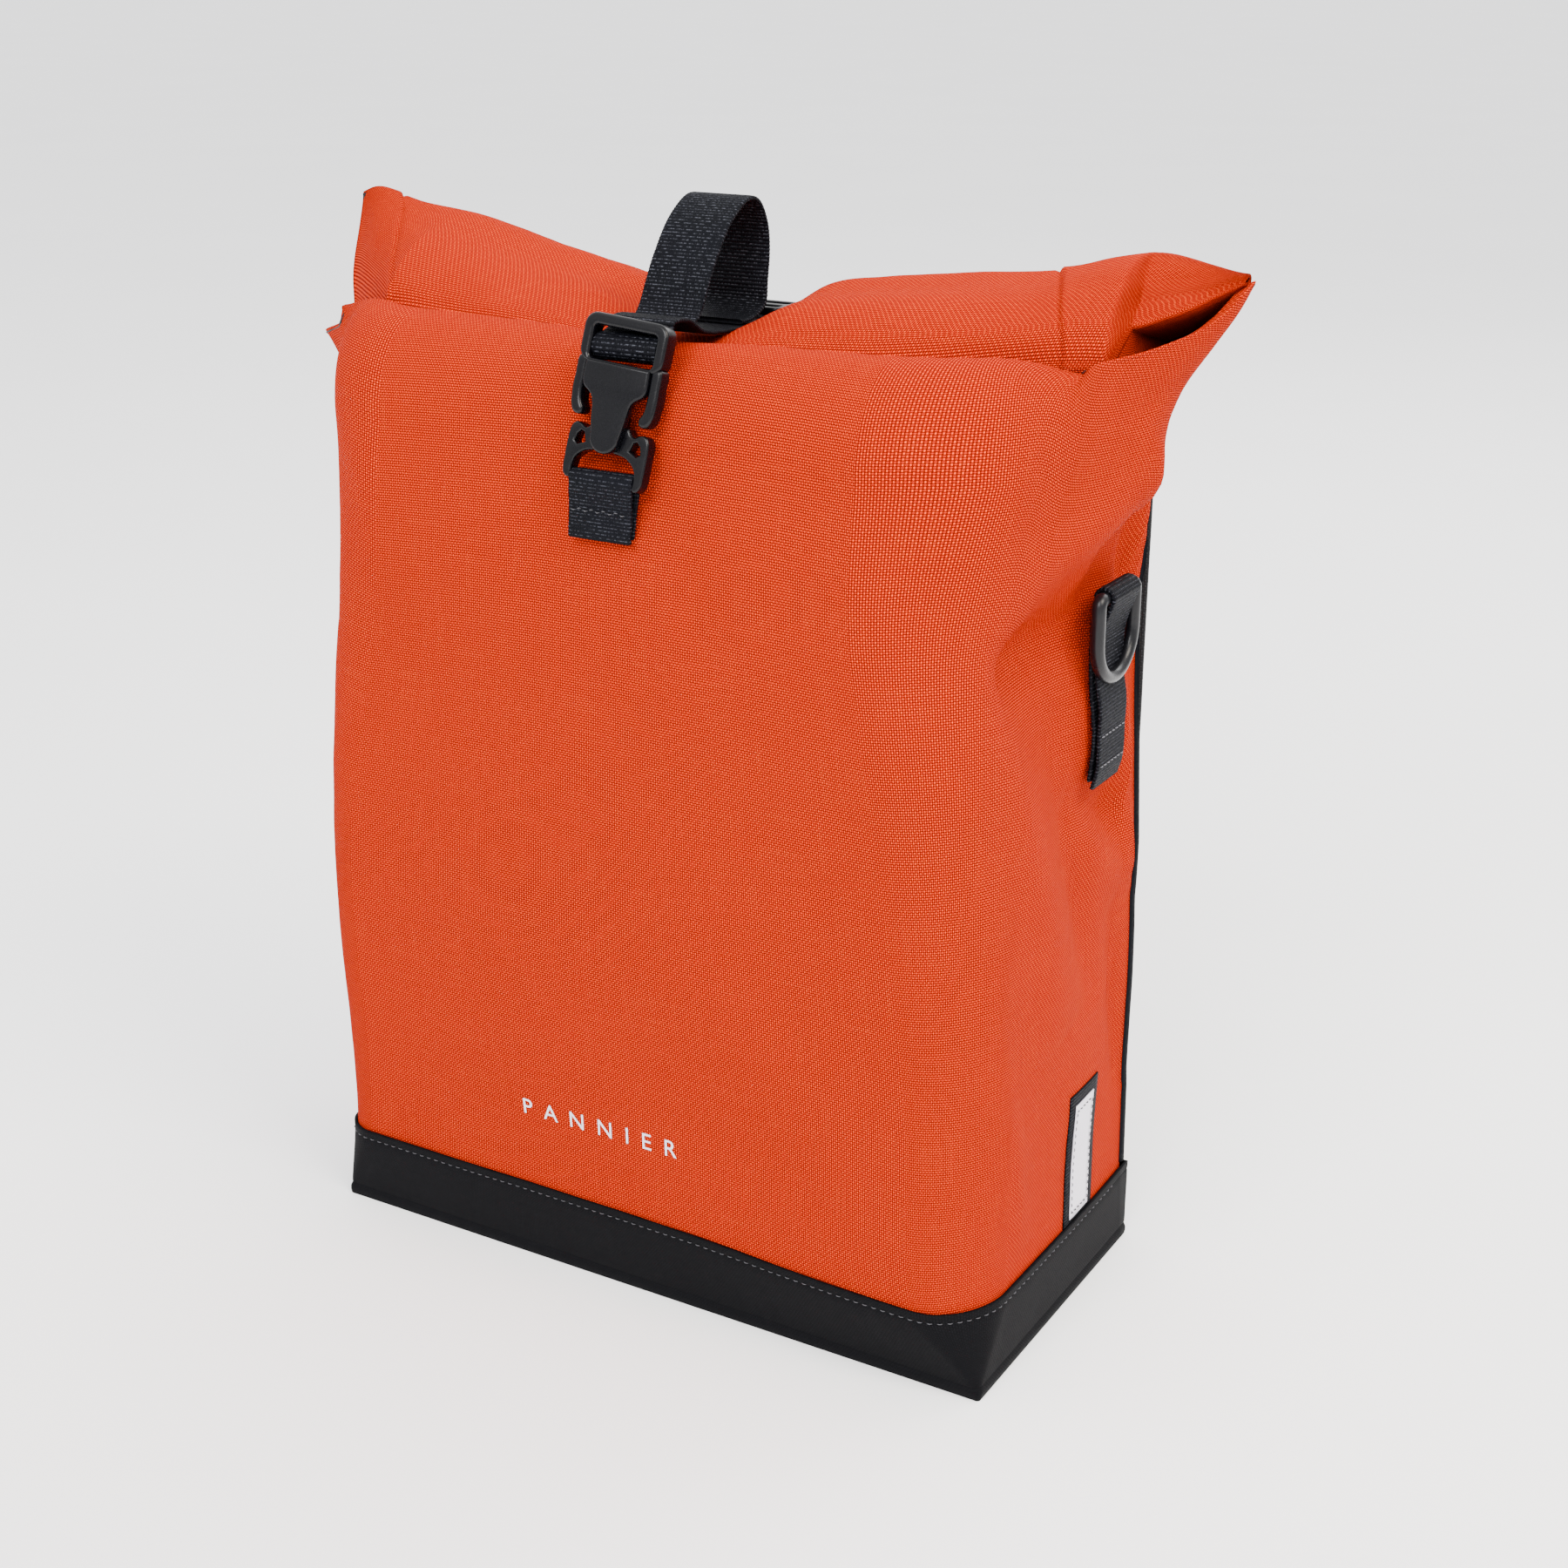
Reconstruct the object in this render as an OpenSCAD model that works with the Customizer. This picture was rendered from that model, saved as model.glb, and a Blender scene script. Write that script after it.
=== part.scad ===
// Roll-top pannier bag: fabric shell with a webbing strap and side-release buckle,
// hung on a rail with two locking rack hooks and a swivelling lower anchor.
// Millimetres. Origin at the centre of the base, +Z up, front of the bag towards -Y.

/* [Bag] */
// Width of the base across the bag
base_w = 285; // [275:1:295]
// Depth of the base from front to back
base_d = 131; // [126:1:136]
// Height of the front lip
lip_z = 357; // [352:1:362]
// Height of the black base band
band_h = 32; // [26:1:36]
// Corner radius of the soft upper body
soft_r = 40; // [30:1:46]
// Thickness of the outer fabric
fabric_t = 1.8; // [1.4:0.1:2]

/* [Webbing and buckle] */
// Width of the webbing
web_w = 25.4; // [24:0.1:25.4]
// Thickness of the webbing
web_t = 1.6; // [1.2:0.1:1.6]
// Width of the buckle
buckle_w = 34; // [33:0.5:36]
// Tilt of the buckle back from vertical
buckle_tilt = 15.5; // [14:0.5:17]
// Height of the D-ring bar
dring_z = 272; // [266:1:276]
// Distance of the D-ring bar behind the centre
dring_y = 24; // [18:1:26]
// Rod radius of the D-ring
dring_rod_r = 2.2; // [2:0.1:2.3]

/* [Rack fittings] */
// Radius of the rack tube that the hooks hold
tube_r = 8; // [8:0.5:9]
// Distance from the centre to each hook
hook_x = 85; // [78:1:90]
// Height of the upper rail
rail_z = 300; // [296:1:304]
// Height of the lower rail
low_rail_z = 95; // [90:1:110]
// Radius of the rod that the lower anchor holds
anchor_rod_r = 6; // [5:0.5:6]

/* [Hidden] */

half_w = base_w / 2;
half_d = base_d / 2;
gap = 0.3;
band_t = 1.6;
seam_r = 24;                        // corner radius at the top of the base band
shell_in = 2;                       // how far the shell sits inside the band
back_y = 60.2;                      // inner face of the back panel
back_t = 3;
back_face = back_y + back_t;
liner_y = back_y - 1.6;             // rear of the lining before its own inset
top_z = 338;                        // top of the back panel
pivot = [60.5, 344];                // hinge line of the roll: y, z
panel_w = 276;
slope_z = lip_z - 35;               // height where the lip starts to curve in
arc_steps = 6;
side_steps = 5;
front_steps = 10;

// ---------- helpers ----------

function lerp(a, b, t) = a + (b - a) * t;
function clamp01(t) = max(0, min(1, t));
function smooth(t) = let (u = clamp01(t)) u * u * (3 - 2 * u);

// Closed skin between two grids of points; ring joins the last column to the first
module skin(outer, inner, ring = false) {
  rows = len(outer);
  cols = len(outer[0]);
  n = rows * cols;
  last = ring ? cols - 1 : cols - 2;
  face = [for (i = [0 : rows - 2], j = [0 : last])
    let (a = i * cols + j, b = i * cols + (j + 1) % cols, c = b + cols, d = a + cols)
    each [[a, c, b], [a, d, c]]];
  back = [for (f = face) [f[0] + n, f[2] + n, f[1] + n]];
  low = [for (j = [0 : last])
    let (a = j, b = (j + 1) % cols)
    each [[a, b, b + n], [a, b + n, a + n]]];
  high = [for (j = [0 : last])
    let (a = n - cols + j, b = n - cols + (j + 1) % cols)
    each [[b, a, a + n], [b, a + n, b + n]]];
  first = ring ? [] : [for (i = [0 : rows - 2])
    let (a = i * cols, d = a + cols)
    each [[d, a, a + n], [d, a + n, d + n]]];
  end = ring ? [] : [for (i = [0 : rows - 2])
    let (a = i * cols + cols - 1, d = a + cols)
    each [[a, d, d + n], [a, d + n, a + n]]];
  polyhedron(
    points = concat([for (r = outer) each r], [for (r = inner) each r]),
    faces = concat(face, back, low, high, first, end)
  );
}

// Unit normal of a 2D path at point i
function path_normal(p, i) =
  let (a = p[max(0, i - 1)], b = p[min(len(p) - 1, i + 1)], d = b - a)
  [-d.y, d.x] / norm(d);

// Points of a smooth curve through the given points
function curve(p, n = 4) = concat(
  [for (i = [0 : len(p) - 2], k = [0 : n - 1])
    let (t = k / n, a = p[max(0, i - 1)], b = p[i], c = p[i + 1], d = p[min(len(p) - 1, i + 2)])
    0.5 * (2 * b + (c - a) * t + (2 * a - 5 * b + 4 * c - d) * t * t
      + (3 * b - a - 3 * c + d) * t * t * t)],
  [p[len(p) - 1]]
);

// Outline of a strip of thickness t that follows a path
function strip(p, t) = concat(
  [for (i = [0 : len(p) - 1]) p[i] + path_normal(p, i) * t / 2],
  [for (i = [len(p) - 1 : -1 : 0]) p[i] - path_normal(p, i) * t / 2]
);

// Extrudes a profile drawn in Y and Z along X, centred
module along_x(w) {
  rotate([90, 0, 90]) linear_extrude(w, center = true) children();
}

// Webbing that follows a path in the YZ plane
module webbing(path, w = web_w, t = web_t) {
  along_x(w) polygon(strip(path, t));
}

// Rod along X through a point in Y and Z
module x_rod(y, z, r, len, x = 0) {
  translate([x - len / 2, y, z]) rotate([0, 90, 0]) cylinder(r = r, h = len, $fn = 48);
}

// Rod along Y starting at y
module y_rod(x, y, z, r, len) {
  translate([x, y, z]) rotate([-90, 0, 0]) cylinder(r = r, h = len, $fn = 48);
}

module rounded_rect(w, h, r) {
  hull() for (x = [-1, 1], y = [-1, 1])
    translate([x * (w / 2 - r), y * (h / 2 - r)]) circle(r, $fn = 32);
}

// Rectangle with round corners made of exact arcs
module plate(w, h, r) {
  square([w - 2 * r, h], center = true);
  square([w, h - 2 * r], center = true);
  for (x = [-1, 1], y = [-1, 1]) translate([x * (w / 2 - r), y * (h / 2 - r)]) circle(r, $fn = 48);
}

// ---------- body of the bag ----------

// Front position, half width and corner radius of the soft body at height z
function front_y(z) = half_d - shell_in + 9.5 * sin(90 * clamp01(z / 220)) - 4 * smooth((z - 280) / 45);
function side_x(z) = half_w - shell_in - 3 * sin(180 * clamp01((z - 90) / 200))
  - 4.2 * sin(180 * clamp01((z - 215) / 110)) + 5 * smooth((z - 290) / 40);
function corner_r(z) = lerp(seam_r, soft_r, smooth(z / 140));

// Three-sided outline, open at the rear, from rear left round the front to rear right
function wrap(w, f, r, rear) = concat(
  [for (i = [0 : side_steps - 1]) [-w, lerp(rear, r - f, i / side_steps)]],
  [for (i = [0 : arc_steps])
    let (a = 180 + 90 * i / arc_steps)
    [r - w + r * cos(a), r - f + r * sin(a)]],
  [for (i = [1 : front_steps - 1]) [lerp(r - w, w - r, i / front_steps), -f]],
  [for (i = [0 : arc_steps])
    let (a = 270 + 90 * i / arc_steps)
    [w - r + r * cos(a), r - f + r * sin(a)]],
  [for (i = [1 : side_steps]) [w, lerp(r - f, rear, i / side_steps)]]
);

// Closed outline with one radius for the front corners and one for the rear, counter-clockwise
function ring_line(w, f, b, r_front, r_rear, n = 5) = [
  for (k = [0 : 3], i = [0 : n])
    let (a = 180 + 90 * k + 90 * i / n, r = k < 2 ? r_front : r_rear,
      cx = (k == 0 || k == 3) ? r - w : w - r, cy = k < 2 ? r - f : b - r)
    [cx + r * cos(a), cy + r * sin(a)]
];

function wall_row(z, d, rear) = [
  for (p = wrap(side_x(z) - d, front_y(z) - d, max(1, corner_r(z) - d), rear)) [p.x, p.y, z]
];

// Row of the curled lip at angle a; the sides rise straight and flare outwards
function lip_row(a, d, rear) = [
  for (p = wrap(side_x(slope_z) - d, front_y(slope_z) - d, corner_r(slope_z) - d, rear))
    let (s = smooth((-p.y - 8) / 50), t = a / 105, side = [p.x + sign(p.x) * 9 * t * t, p.y, slope_z + 24 * t],
      lip = [p.x, p.y + (27 - d) * (1 - cos(a)), slope_z + (35 - d) * sin(a)])
    lerp(side, lip, s)
];

function shell_rows(d, bottom, rear, last) = concat(
  [for (z = [bottom, 14, 24, 34, 62, 100, 145, 190, 206, 222, 238, 254, 270, 284, 298]) wall_row(z, d, rear)],
  [for (a = [0 : 15 : last]) lip_row(a, d, rear)]
);

module front_shell() {
  color("orangered")
    skin(shell_rows(0, 2.6, back_y - gap / 2, 105), shell_rows(fabric_t, 2.6, back_y - gap / 2, 105));
}

function liner_rows(d) = [
  for (z = [6.5, 34, 80, 140, 200, 260, 300, 316])
    [for (p = ring_line(side_x(z) - d, front_y(z) - d, liner_y - d, corner_r(z) - d, 8 - d)) [p.x, p.y, z]]
];

// Waterproof inner lining, open at the top
module liner() {
  color("gainsboro") skin(liner_rows(fabric_t + 1.2), liner_rows(fabric_t + 2), ring = true);
}

function band_row(z, r, d) = [
  for (p = ring_line(half_w - d, front_y(z) + shell_in - d, half_d - d, max(0.4, r - d),
    max(0.4, r * 0.3 - d)))
    [p.x, p.y, z]
];

module base_band() {
  // radius of the corners from the sharp base to the round top seam
  rows = [[0, 1.8], [8, 6], [16, 12], [24, 19], [band_h, seam_r]];
  color("#17181b") skin(
    [for (k = rows) band_row(k[0], k[1], 0)],
    [for (k = rows) band_row(k[0], k[1], band_t)],
    ring = true
  );
}

module base_panel() {
  color("#1c1d20") linear_extrude(2) plate(base_w - 2 * band_t - 0.4, base_d - 2 * band_t - 0.4, 2.4);
}

module base_board() {
  color("#202020") translate([0, -2.5, 2.3]) linear_extrude(2.4) plate(264, 108, 12);
}

rail_screw_x = [-110, -40, 40, 110];
low_screw_x = [-48, 48];

module rail_screw_places() {
  for (x = rail_screw_x) translate([x, 0, rail_z]) children();
  for (x = low_screw_x) translate([x, 0, low_rail_z]) children();
}

module back_panel() {
  color("#1b1c1f") difference() {
    translate([0, back_face, (top_z + 2.6) / 2])
      rotate([90, 0, 0]) linear_extrude(back_t) plate(panel_w, top_z - 2.6, 10);
    rail_screw_places() y_rod(0, back_y - 1, 0, 2.3, back_t + 2);
  }
}

stiff_t = 2.2;
module back_stiffener() {
  color("#2a2a2a") difference() {
    translate([0, back_y - gap, 168.5])
      rotate([90, 0, 0]) linear_extrude(stiff_t) plate(256, 313, 8);
    rail_screw_places() y_rod(0, back_y - gap - stiff_t - 1, 0, 2.3, stiff_t + 2);
  }
}

// ---------- front tab and buckle ----------

buckle_y = -75.6;
buckle_z = 308;

// Point in Y and Z at a height along the buckle and a distance out from its back
function on_buckle(up, out) = [
  buckle_y + up * sin(buckle_tilt) - out * cos(buckle_tilt),
  buckle_z + up * cos(buckle_tilt) + out * sin(buckle_tilt)
];

module buckle_frame() {
  translate([0, buckle_y, buckle_z]) rotate([90 - buckle_tilt, 0, 0]) children();
}

// Bar across the buckle with round ends in section
module buckle_bar(up, out, w, r) {
  translate([-w / 2, up, out]) rotate([0, 90, 0]) cylinder(r = r, h = w, $fn = 32);
}

// Smooth half outline of the plug's pressing plate, right side, from its top to its tip
plate_side = [[13, 41], [13, 35.5], [11.8, 33.2], [8.6, 31], [7.2, 28], [6.2, 20], [5.6, 15.5]];

module buckle_plug() {
  t = buckle_w / 2;
  right = curve(plate_side, 4);
  color("#151516") buckle_frame() {
    // ladder frame with its two webbing slots
    translate([0, 0, 1]) linear_extrude(6.2) difference() {
      translate([0, 49.5]) plate(buckle_w, 17, 4);
      translate([0, 53.2]) square([web_w + 1, 4.6], center = true);
      translate([0, 44.3]) square([web_w + 1, 4.6], center = true);
      translate([0, 48.75]) square([web_w + 1, 4.4], center = true);
    }
    buckle_bar(48.6, 3.6, web_w + 2, 1.5);
    // pressing plate with a round tip
    translate([0, 0, 5.3]) linear_extrude(2.6) {
      polygon(concat(right, [for (i = [len(right) - 1 : -1 : 0]) [-right[i].x, right[i].y]]));
      translate([0, 17]) circle(5.75, $fn = 48);
    }
  }
}

// Squeeze arm: an extruded leg with a round nose
module buckle_arm(side) {
  color("#151516") buckle_frame() mirror([side < 0 ? 1 : 0, 0, 0]) translate([0, 0, 1.2]) linear_extrude(5.6) {
    polygon([[14.2, 40.6], [17, 40.6], [17.4, 36], [17.6, 31], [17.4, 26], [15.8, 23.4], [13.4, 23.6],
      [12.9, 25.8], [14.4, 27.4], [14.6, 31], [13.9, 35]]);
  }
}

module buckle_socket() {
  color("#151516") buckle_frame() {
    linear_extrude(4.6) difference() {
      union() {
        translate([0, 8.8]) plate(buckle_w, 16.8, 6);
        translate([0, 18.4]) square([17, 6], center = true);
        for (s = [-1, 1]) translate([s * 13.2, 16.5]) circle(3.6, $fn = 48);
        translate([0, 30.5]) plate(9, 20, 3);
      }
      // webbing window, open below so that only the round bar crosses it
      translate([0, 4.9]) square([web_w + 1.2, 11.8], center = true);
      // triangular side windows
      for (s = [-1, 1]) polygon([[s * 8.6, 12.6], [s * 13.6, 12.8], [s * 11.2, 17.4]]);
    }
    buckle_bar(2, 2.3, web_w + 2, 1.5);
  }
}

// Sewn tab that holds the lower half of the buckle
module front_tab() {
  bar = on_buckle(2, 2.3);
  r = 1.5 + web_t / 2 + 0.25;
  lift = web_t / 2 + 0.3;
  second = lift + web_t + 0.4;
  low = 290.5;
  bend = 299.5;
  color("#141518") webbing(curve(concat(
    [[-front_y(low) - lift, low], [-front_y(bend) - lift, bend], [-73.6, 303.4], [-74.7, 306.8]],
    [for (a = [-20 : 44 : 200]) bar + r * [cos(a), sin(a)]],
    [[-78.6, 306.6], [-76.2, 303], [-front_y(bend) - second - 0.3, bend], [-front_y(low) - second, low]]
  ), 3));
}

// ---------- roll, strap and handle ----------

// Shape of the rolled collar along X: top, bottom, middle and half depth
function roll_top_z(x) = lookup(abs(x), [[0, 352.4], [16, 353], [50, 363], [118, 379.5], [150, 384], [182, 382]])
  + (x < 0 ? 6 * smooth((-x - 110) / 70) : 0);
function roll_low_z(x) = lookup(abs(x), [[0, 326], [50, 331], [116, 339], [131, 349], [150, 354], [168, 363],
  [182, 376]]) + (x < 0 ? 3 * smooth((-x - 140) / 42) : 0);
function roll_mid_y(x) = lookup(abs(x), [[0, 11], [118, 11], [182, 19]]);
function roll_half_d(x) = lookup(abs(x), [[0, 45.5], [118, 44], [150, 38], [168, 26], [182, 9]]);

function roll_loop(x, d) = [
  for (k = [0 : 19])
    let (a = 18 * k, h = (roll_top_z(x) - roll_low_z(x)) / 2)
    [x, roll_mid_y(x) + (roll_half_d(x) - d) * cos(a), roll_low_z(x) + h + (h - d) * sin(a)]
];

roll_x = [-182, -175, -168, -159, -150, -140, -131, -118, -100, -75, -50, -32, -16, 0,
  16, 32, 50, 75, 100, 118, 131, 140, 150, 159, 168, 175, 182];

module roll_top() {
  color("orangered")
    skin([for (x = roll_x) roll_loop(x, 0)], [for (x = roll_x) roll_loop(x, fabric_t)], ring = true);
}

// Flat strip inside the roll that the collar is wound on
module hem_stiffener() {
  color("#202020") translate([0, 11, 345.5]) linear_extrude(1.4) plate(236, 30, 4);
}

strap_path = [
  [58.5, 347.2], [46, 352.4], [22, 354.6], [-10, 355.2], [-34, 356.8], [-48, 361.2], on_buckle(59, -1.6),
  on_buckle(55.4, -0.9), on_buckle(53.2, 1.6), on_buckle(51.6, 5), on_buckle(48.6, 6.5), on_buckle(45.8, 5.2),
  on_buckle(44.4, 2.2), on_buckle(44.8, -0.6)
];

module closure_strap() {
  color("#141518") webbing(curve(strap_path, 4));
}

handle_path = [
  [-46, 362.6], [-38, 361.2], [-33.6, 364.6], [-29, 372.6], [-23.6, 381], [-15, 390], [-4, 396.4], [3.6, 395.6],
  [8.4, 388.6], [9.8, 380], [9, 369], [7.6, 361.4], [0, 357.5], [-8, 357.1]
];

module handle_loop() {
  color("#141518") webbing(curve(handle_path, 4));
}

module strap_slider() {
  color("#151516") translate([0, 20, 356.4]) linear_extrude(3) difference() {
    plate(31, 16, 3);
    for (s = [-1, 1]) translate([0, s * 3.6]) square([web_w + 0.8, 4], center = true);
  }
}

// Webbing patch that holds the strap to the top of the back panel
module strap_anchor() {
  color("#141518") webbing([[back_face + 1, 305 + 14], [back_face + 1, 337], [back_face + 0.7, 339.6]], 34);
}

// ---------- side tabs, D-rings and reflectors ----------

bar_x = side_x(dring_z) + 6.6;

// Webbing loop on the right side: path in X and Z
module dring_tab(side) {
  r = dring_rod_r + web_t / 2 + 0.3;
  lift = web_t / 2 + 0.3;
  second = lift + web_t + 0.3;
  path = concat(
    [[side_x(204) + lift, 204], [side_x(222) + lift, 222], [side_x(242) + lift, 242],
      [side_x(258) + lift, 258]],
    [for (a = [195 : -35 : -15]) [bar_x + r * cos(a), dring_z + r * sin(a)]],
    [[side_x(258) + second, 258], [side_x(242) + second, 242], [side_x(222) + second, 222],
      [side_x(204) + second, 204]]
  );
  color("#141518") mirror([side < 0 ? 1 : 0, 0, 0]) translate([0, dring_y, 0]) rotate([90, 0, 0])
    linear_extrude(web_w, center = true) polygon(strip(curve(path, 2), web_t));
}

// D-shaped ring hanging from its straight bar
module dring(side) {
  inner = web_w / 2 + 0.4;
  arc = inner + dring_rod_r;
  drop = 34 - arc - dring_rod_r - 2;
  color("#34363a") mirror([side < 0 ? 1 : 0, 0, 0]) translate([bar_x, dring_y, dring_z]) {
    translate([0, -arc, 0]) rotate([-90, 0, 0]) cylinder(r = dring_rod_r, h = 2 * arc, $fn = 32);
    for (s = [-1, 1]) {
      translate([0, s * arc, 0]) sphere(dring_rod_r, $fn = 32);
      translate([0, s * arc, -drop]) cylinder(r = dring_rod_r, h = drop, $fn = 32);
    }
    translate([0, 0, -drop]) rotate([0, 90, 0]) rotate([0, 0, -90])
      rotate_extrude(angle = 180, $fn = 64) translate([arc, 0]) circle(dring_rod_r, $fn = 32);
  }
}

reflector_y = 17;
module reflector_trim(side) {
  x = side_x(50);
  color("#141518") translate([side * (x + 0.65), reflector_y, (band_h + 0.4 + 86) / 2]) rotate([0, 90, 0])
    linear_extrude(0.6, center = true) square([86 - band_h - 0.4, 25], center = true);
}

module reflector(side) {
  x = side_x(50);
  color("lavender") translate([side * (x + 1.3), reflector_y, (band_h + 3 + 81) / 2]) rotate([0, 90, 0])
    linear_extrude(0.4, center = true) square([81 - band_h - 3, 16], center = true);
}

// ---------- rails ----------

rail_y0 = back_face + gap;
rail_d = 9;
rail_h = 24;
rail_wall = 2;
rail_face = rail_y0 + rail_d;
slot_h = 10;
upper_len = 250;
lower_len = 150;

module rail(len, z, screw_x) {
  difference() {
    translate([0, rail_y0, z]) along_x(len) difference() {
      translate([0, -rail_h / 2]) square([rail_d, rail_h]);
      translate([rail_wall, 3 - rail_h / 2]) square([rail_d - 2 * rail_wall, rail_h - 6]);
      translate([rail_d - rail_wall - 1, -slot_h / 2]) square([rail_wall + 2, slot_h]);
    }
    for (x = screw_x) y_rod(x, rail_y0 - 1, z, 2.3, rail_wall + 2);
  }
}

module upper_rail() {
  color("silver") rail(upper_len, rail_z, rail_screw_x);
}

module lower_rail() {
  color("silver") rail(lower_len, low_rail_z, low_screw_x);
}

// Plug and cover plate at each rail end
module end_cap() {
  translate([0, rail_y0 + rail_d / 2, 0]) {
    translate([0.1, 0, 0]) rotate([90, 0, 90]) linear_extrude(2.4) plate(rail_d, rail_h, 2);
    translate([-5, 0, 0]) rotate([90, 0, 90]) linear_extrude(5.1)
      square([rail_d - 2 * rail_wall - 0.3, rail_h - 6.3], center = true);
  }
}

module rail_end_caps() {
  color("#1a1a1b") for (s = [[upper_len, rail_z], [lower_len, low_rail_z]]) {
    translate([s[0] / 2, 0, s[1]]) end_cap();
    mirror([1, 0, 0]) translate([s[0] / 2, 0, s[1]]) end_cap();
  }
}

nut_y = back_y - gap - stiff_t - 0.1;
module rail_screws() {
  color("silver") rail_screw_places() {
    y_rod(0, nut_y - 1.2, 0, 2, rail_y0 + rail_wall + 0.1 - nut_y + 1.2);
    y_rod(0, rail_y0 + rail_wall + 0.1, 0, 3.8, 1.6);
  }
}

module rail_nuts() {
  color("silver") rail_screw_places() difference() {
    y_rod(0, nut_y - 1.2, 0, 7, 1.2);
    y_rod(0, nut_y - 2, 0, 2.05, 3);
  }
}

// ---------- rack hooks ----------

hook_w = 36;
plate_y = rail_face + gap;          // inner face of the hook's back plate
plate_t = 4.5;
liner_t = 1.5;
hook_in = tube_r + liner_t + 0.1;
hook_wall = 5;
tube_y = plate_y + plate_t + hook_in - 0.4;
tube_z = rail_z + 12;
ear_y = plate_y + plate_t + 3.4;
ear_z = rail_z - 4;
ear_r = 3.2;
pin_r = 1.5;
hook_screw_dx = 13.6;

// Section of the hook: back plate, bridge over the tube and front lip
module hook_profile() {
  difference() {
    union() {
      translate([plate_y, rail_z - 18]) square([plate_t, tube_z - rail_z + 18]);
      translate([tube_y, tube_z]) circle(hook_in + hook_wall, $fn = 96);
      translate([tube_y + hook_in, tube_z - 8]) square([hook_wall - 1, 8]);
      translate([tube_y + hook_in + 2, tube_z - 8]) circle(2, $fn = 32);
    }
    translate([tube_y, tube_z]) circle(hook_in, $fn = 96);
    translate([plate_y + plate_t, tube_z - 40]) square([tube_y + hook_in - plate_y - plate_t, 40]);
    translate([plate_y + plate_t, tube_z - 40]) square([60, 30.01]);
    translate([plate_y - 20, tube_z - 40]) square([20, 80]);
  }
}

module hook(side) {
  color("#1a1a1b") difference() {
    union() {
      translate([side * hook_x, 0, 0]) along_x(hook_w) hook_profile();
      for (e = [-1, 1]) translate([side * hook_x + e * 8, 0, 0]) along_x(3.2) hull() {
        translate([ear_y, ear_z]) circle(ear_r, $fn = 32);
        translate([plate_y + plate_t - 1, ear_z - ear_r]) square([1, 2 * ear_r]);
      }
    }
    x_rod(ear_y, ear_z, pin_r + 0.02, hook_w, side * hook_x);
    for (e = [-1, 1]) y_rod(side * hook_x + e * hook_screw_dx, plate_y - 1, rail_z, 2.2, plate_t + 2);
  }
}

module hook_liner(side) {
  color("#3a3b3e") translate([side * hook_x, 0, 0]) along_x(hook_w - 2) difference() {
    translate([tube_y, tube_z]) circle(tube_r + liner_t, $fn = 96);
    translate([tube_y, tube_z]) circle(tube_r, $fn = 96);
    translate([tube_y - 30, tube_z - 60]) square([60, 60]);
  }
}

t_nut_y = rail_face - rail_wall - gap - 2.3;
module t_nut(side) {
  color("silver") difference() {
    translate([side * hook_x, t_nut_y + 2.3, rail_z]) rotate([90, 0, 0]) linear_extrude(2.3) plate(34, 15, 2);
    for (e = [-1, 1]) y_rod(side * hook_x + e * hook_screw_dx, t_nut_y - 1, rail_z, 2.05, 5);
  }
}

module hook_screws(side) {
  color("silver") for (e = [-1, 1]) {
    y_rod(side * hook_x + e * hook_screw_dx, t_nut_y + 0.1, rail_z, 2, plate_y + plate_t + 0.1 - t_nut_y - 0.1);
    y_rod(side * hook_x + e * hook_screw_dx, plate_y + plate_t + 0.1, rail_z, 3.6, 2);
  }
}

module cam_pin(side) {
  color("silver") x_rod(ear_y, ear_z, pin_r, 19.4, side * hook_x);
}

// Locking lever: hub on the pin, jaw under the tube and a thumb tab
module cam_lever(side) {
  color("#c8551e") translate([side * hook_x, 0, 0]) difference() {
    union() {
      x_rod(ear_y, ear_z, 3, 8);
      along_x(8) polygon([[ear_y - 0.5, ear_z + 2.9], [tube_y - 4, tube_z - tube_r - 0.9],
        [tube_y + 4, tube_z - tube_r - 0.9], [tube_y + 13, tube_z - tube_r - 3], [tube_y + 24, ear_z + 1],
        [tube_y + 24, ear_z - 2], [tube_y + 10, ear_z - 2], [tube_y, ear_z - 1.4], [ear_y, ear_z - 3]]);
    }
    x_rod(ear_y, ear_z, pin_r + 0.05, 12);
  }
}

// Torsion spring round the pin, between the lever and an ear
module cam_spring(side) {
  wire = 0.28;
  coil = pin_r + 0.75;
  turns = 2;
  steps = 36;
  length = 1.5;
  x0 = side * hook_x + 4.6;
  ring = [for (k = [0 : steps])
    let (a = 360 * turns * k / steps, x = x0 + length * k / steps)
    [for (m = [0 : 4])
      let (b = 72 * m, r = coil + wire * cos(b))
      [x + wire * sin(b), ear_y + r * cos(a), ear_z + r * sin(a)]]];
  color("silver") polyhedron(
    points = [for (r = ring) each r],
    faces = concat(
      [[for (m = [0 : 4]) m]],
      [[for (m = [4 : -1 : 0]) steps * 5 + m]],
      [for (i = [0 : steps - 1], m = [0 : 4])
        let (a = i * 5 + m, b = i * 5 + (m + 1) % 5)
        each [[a, a + 5, b + 5], [a, b + 5, b]]]
    )
  );
}

// ---------- lower anchor ----------

anchor_x = 0;
carriage_y = rail_face + gap;
carriage_t = 4;
hub_y = carriage_y + carriage_t + gap;
arm_t = 5;
rod_x = 40;
rod_y = hub_y + arm_t / 2 + 2;

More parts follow.
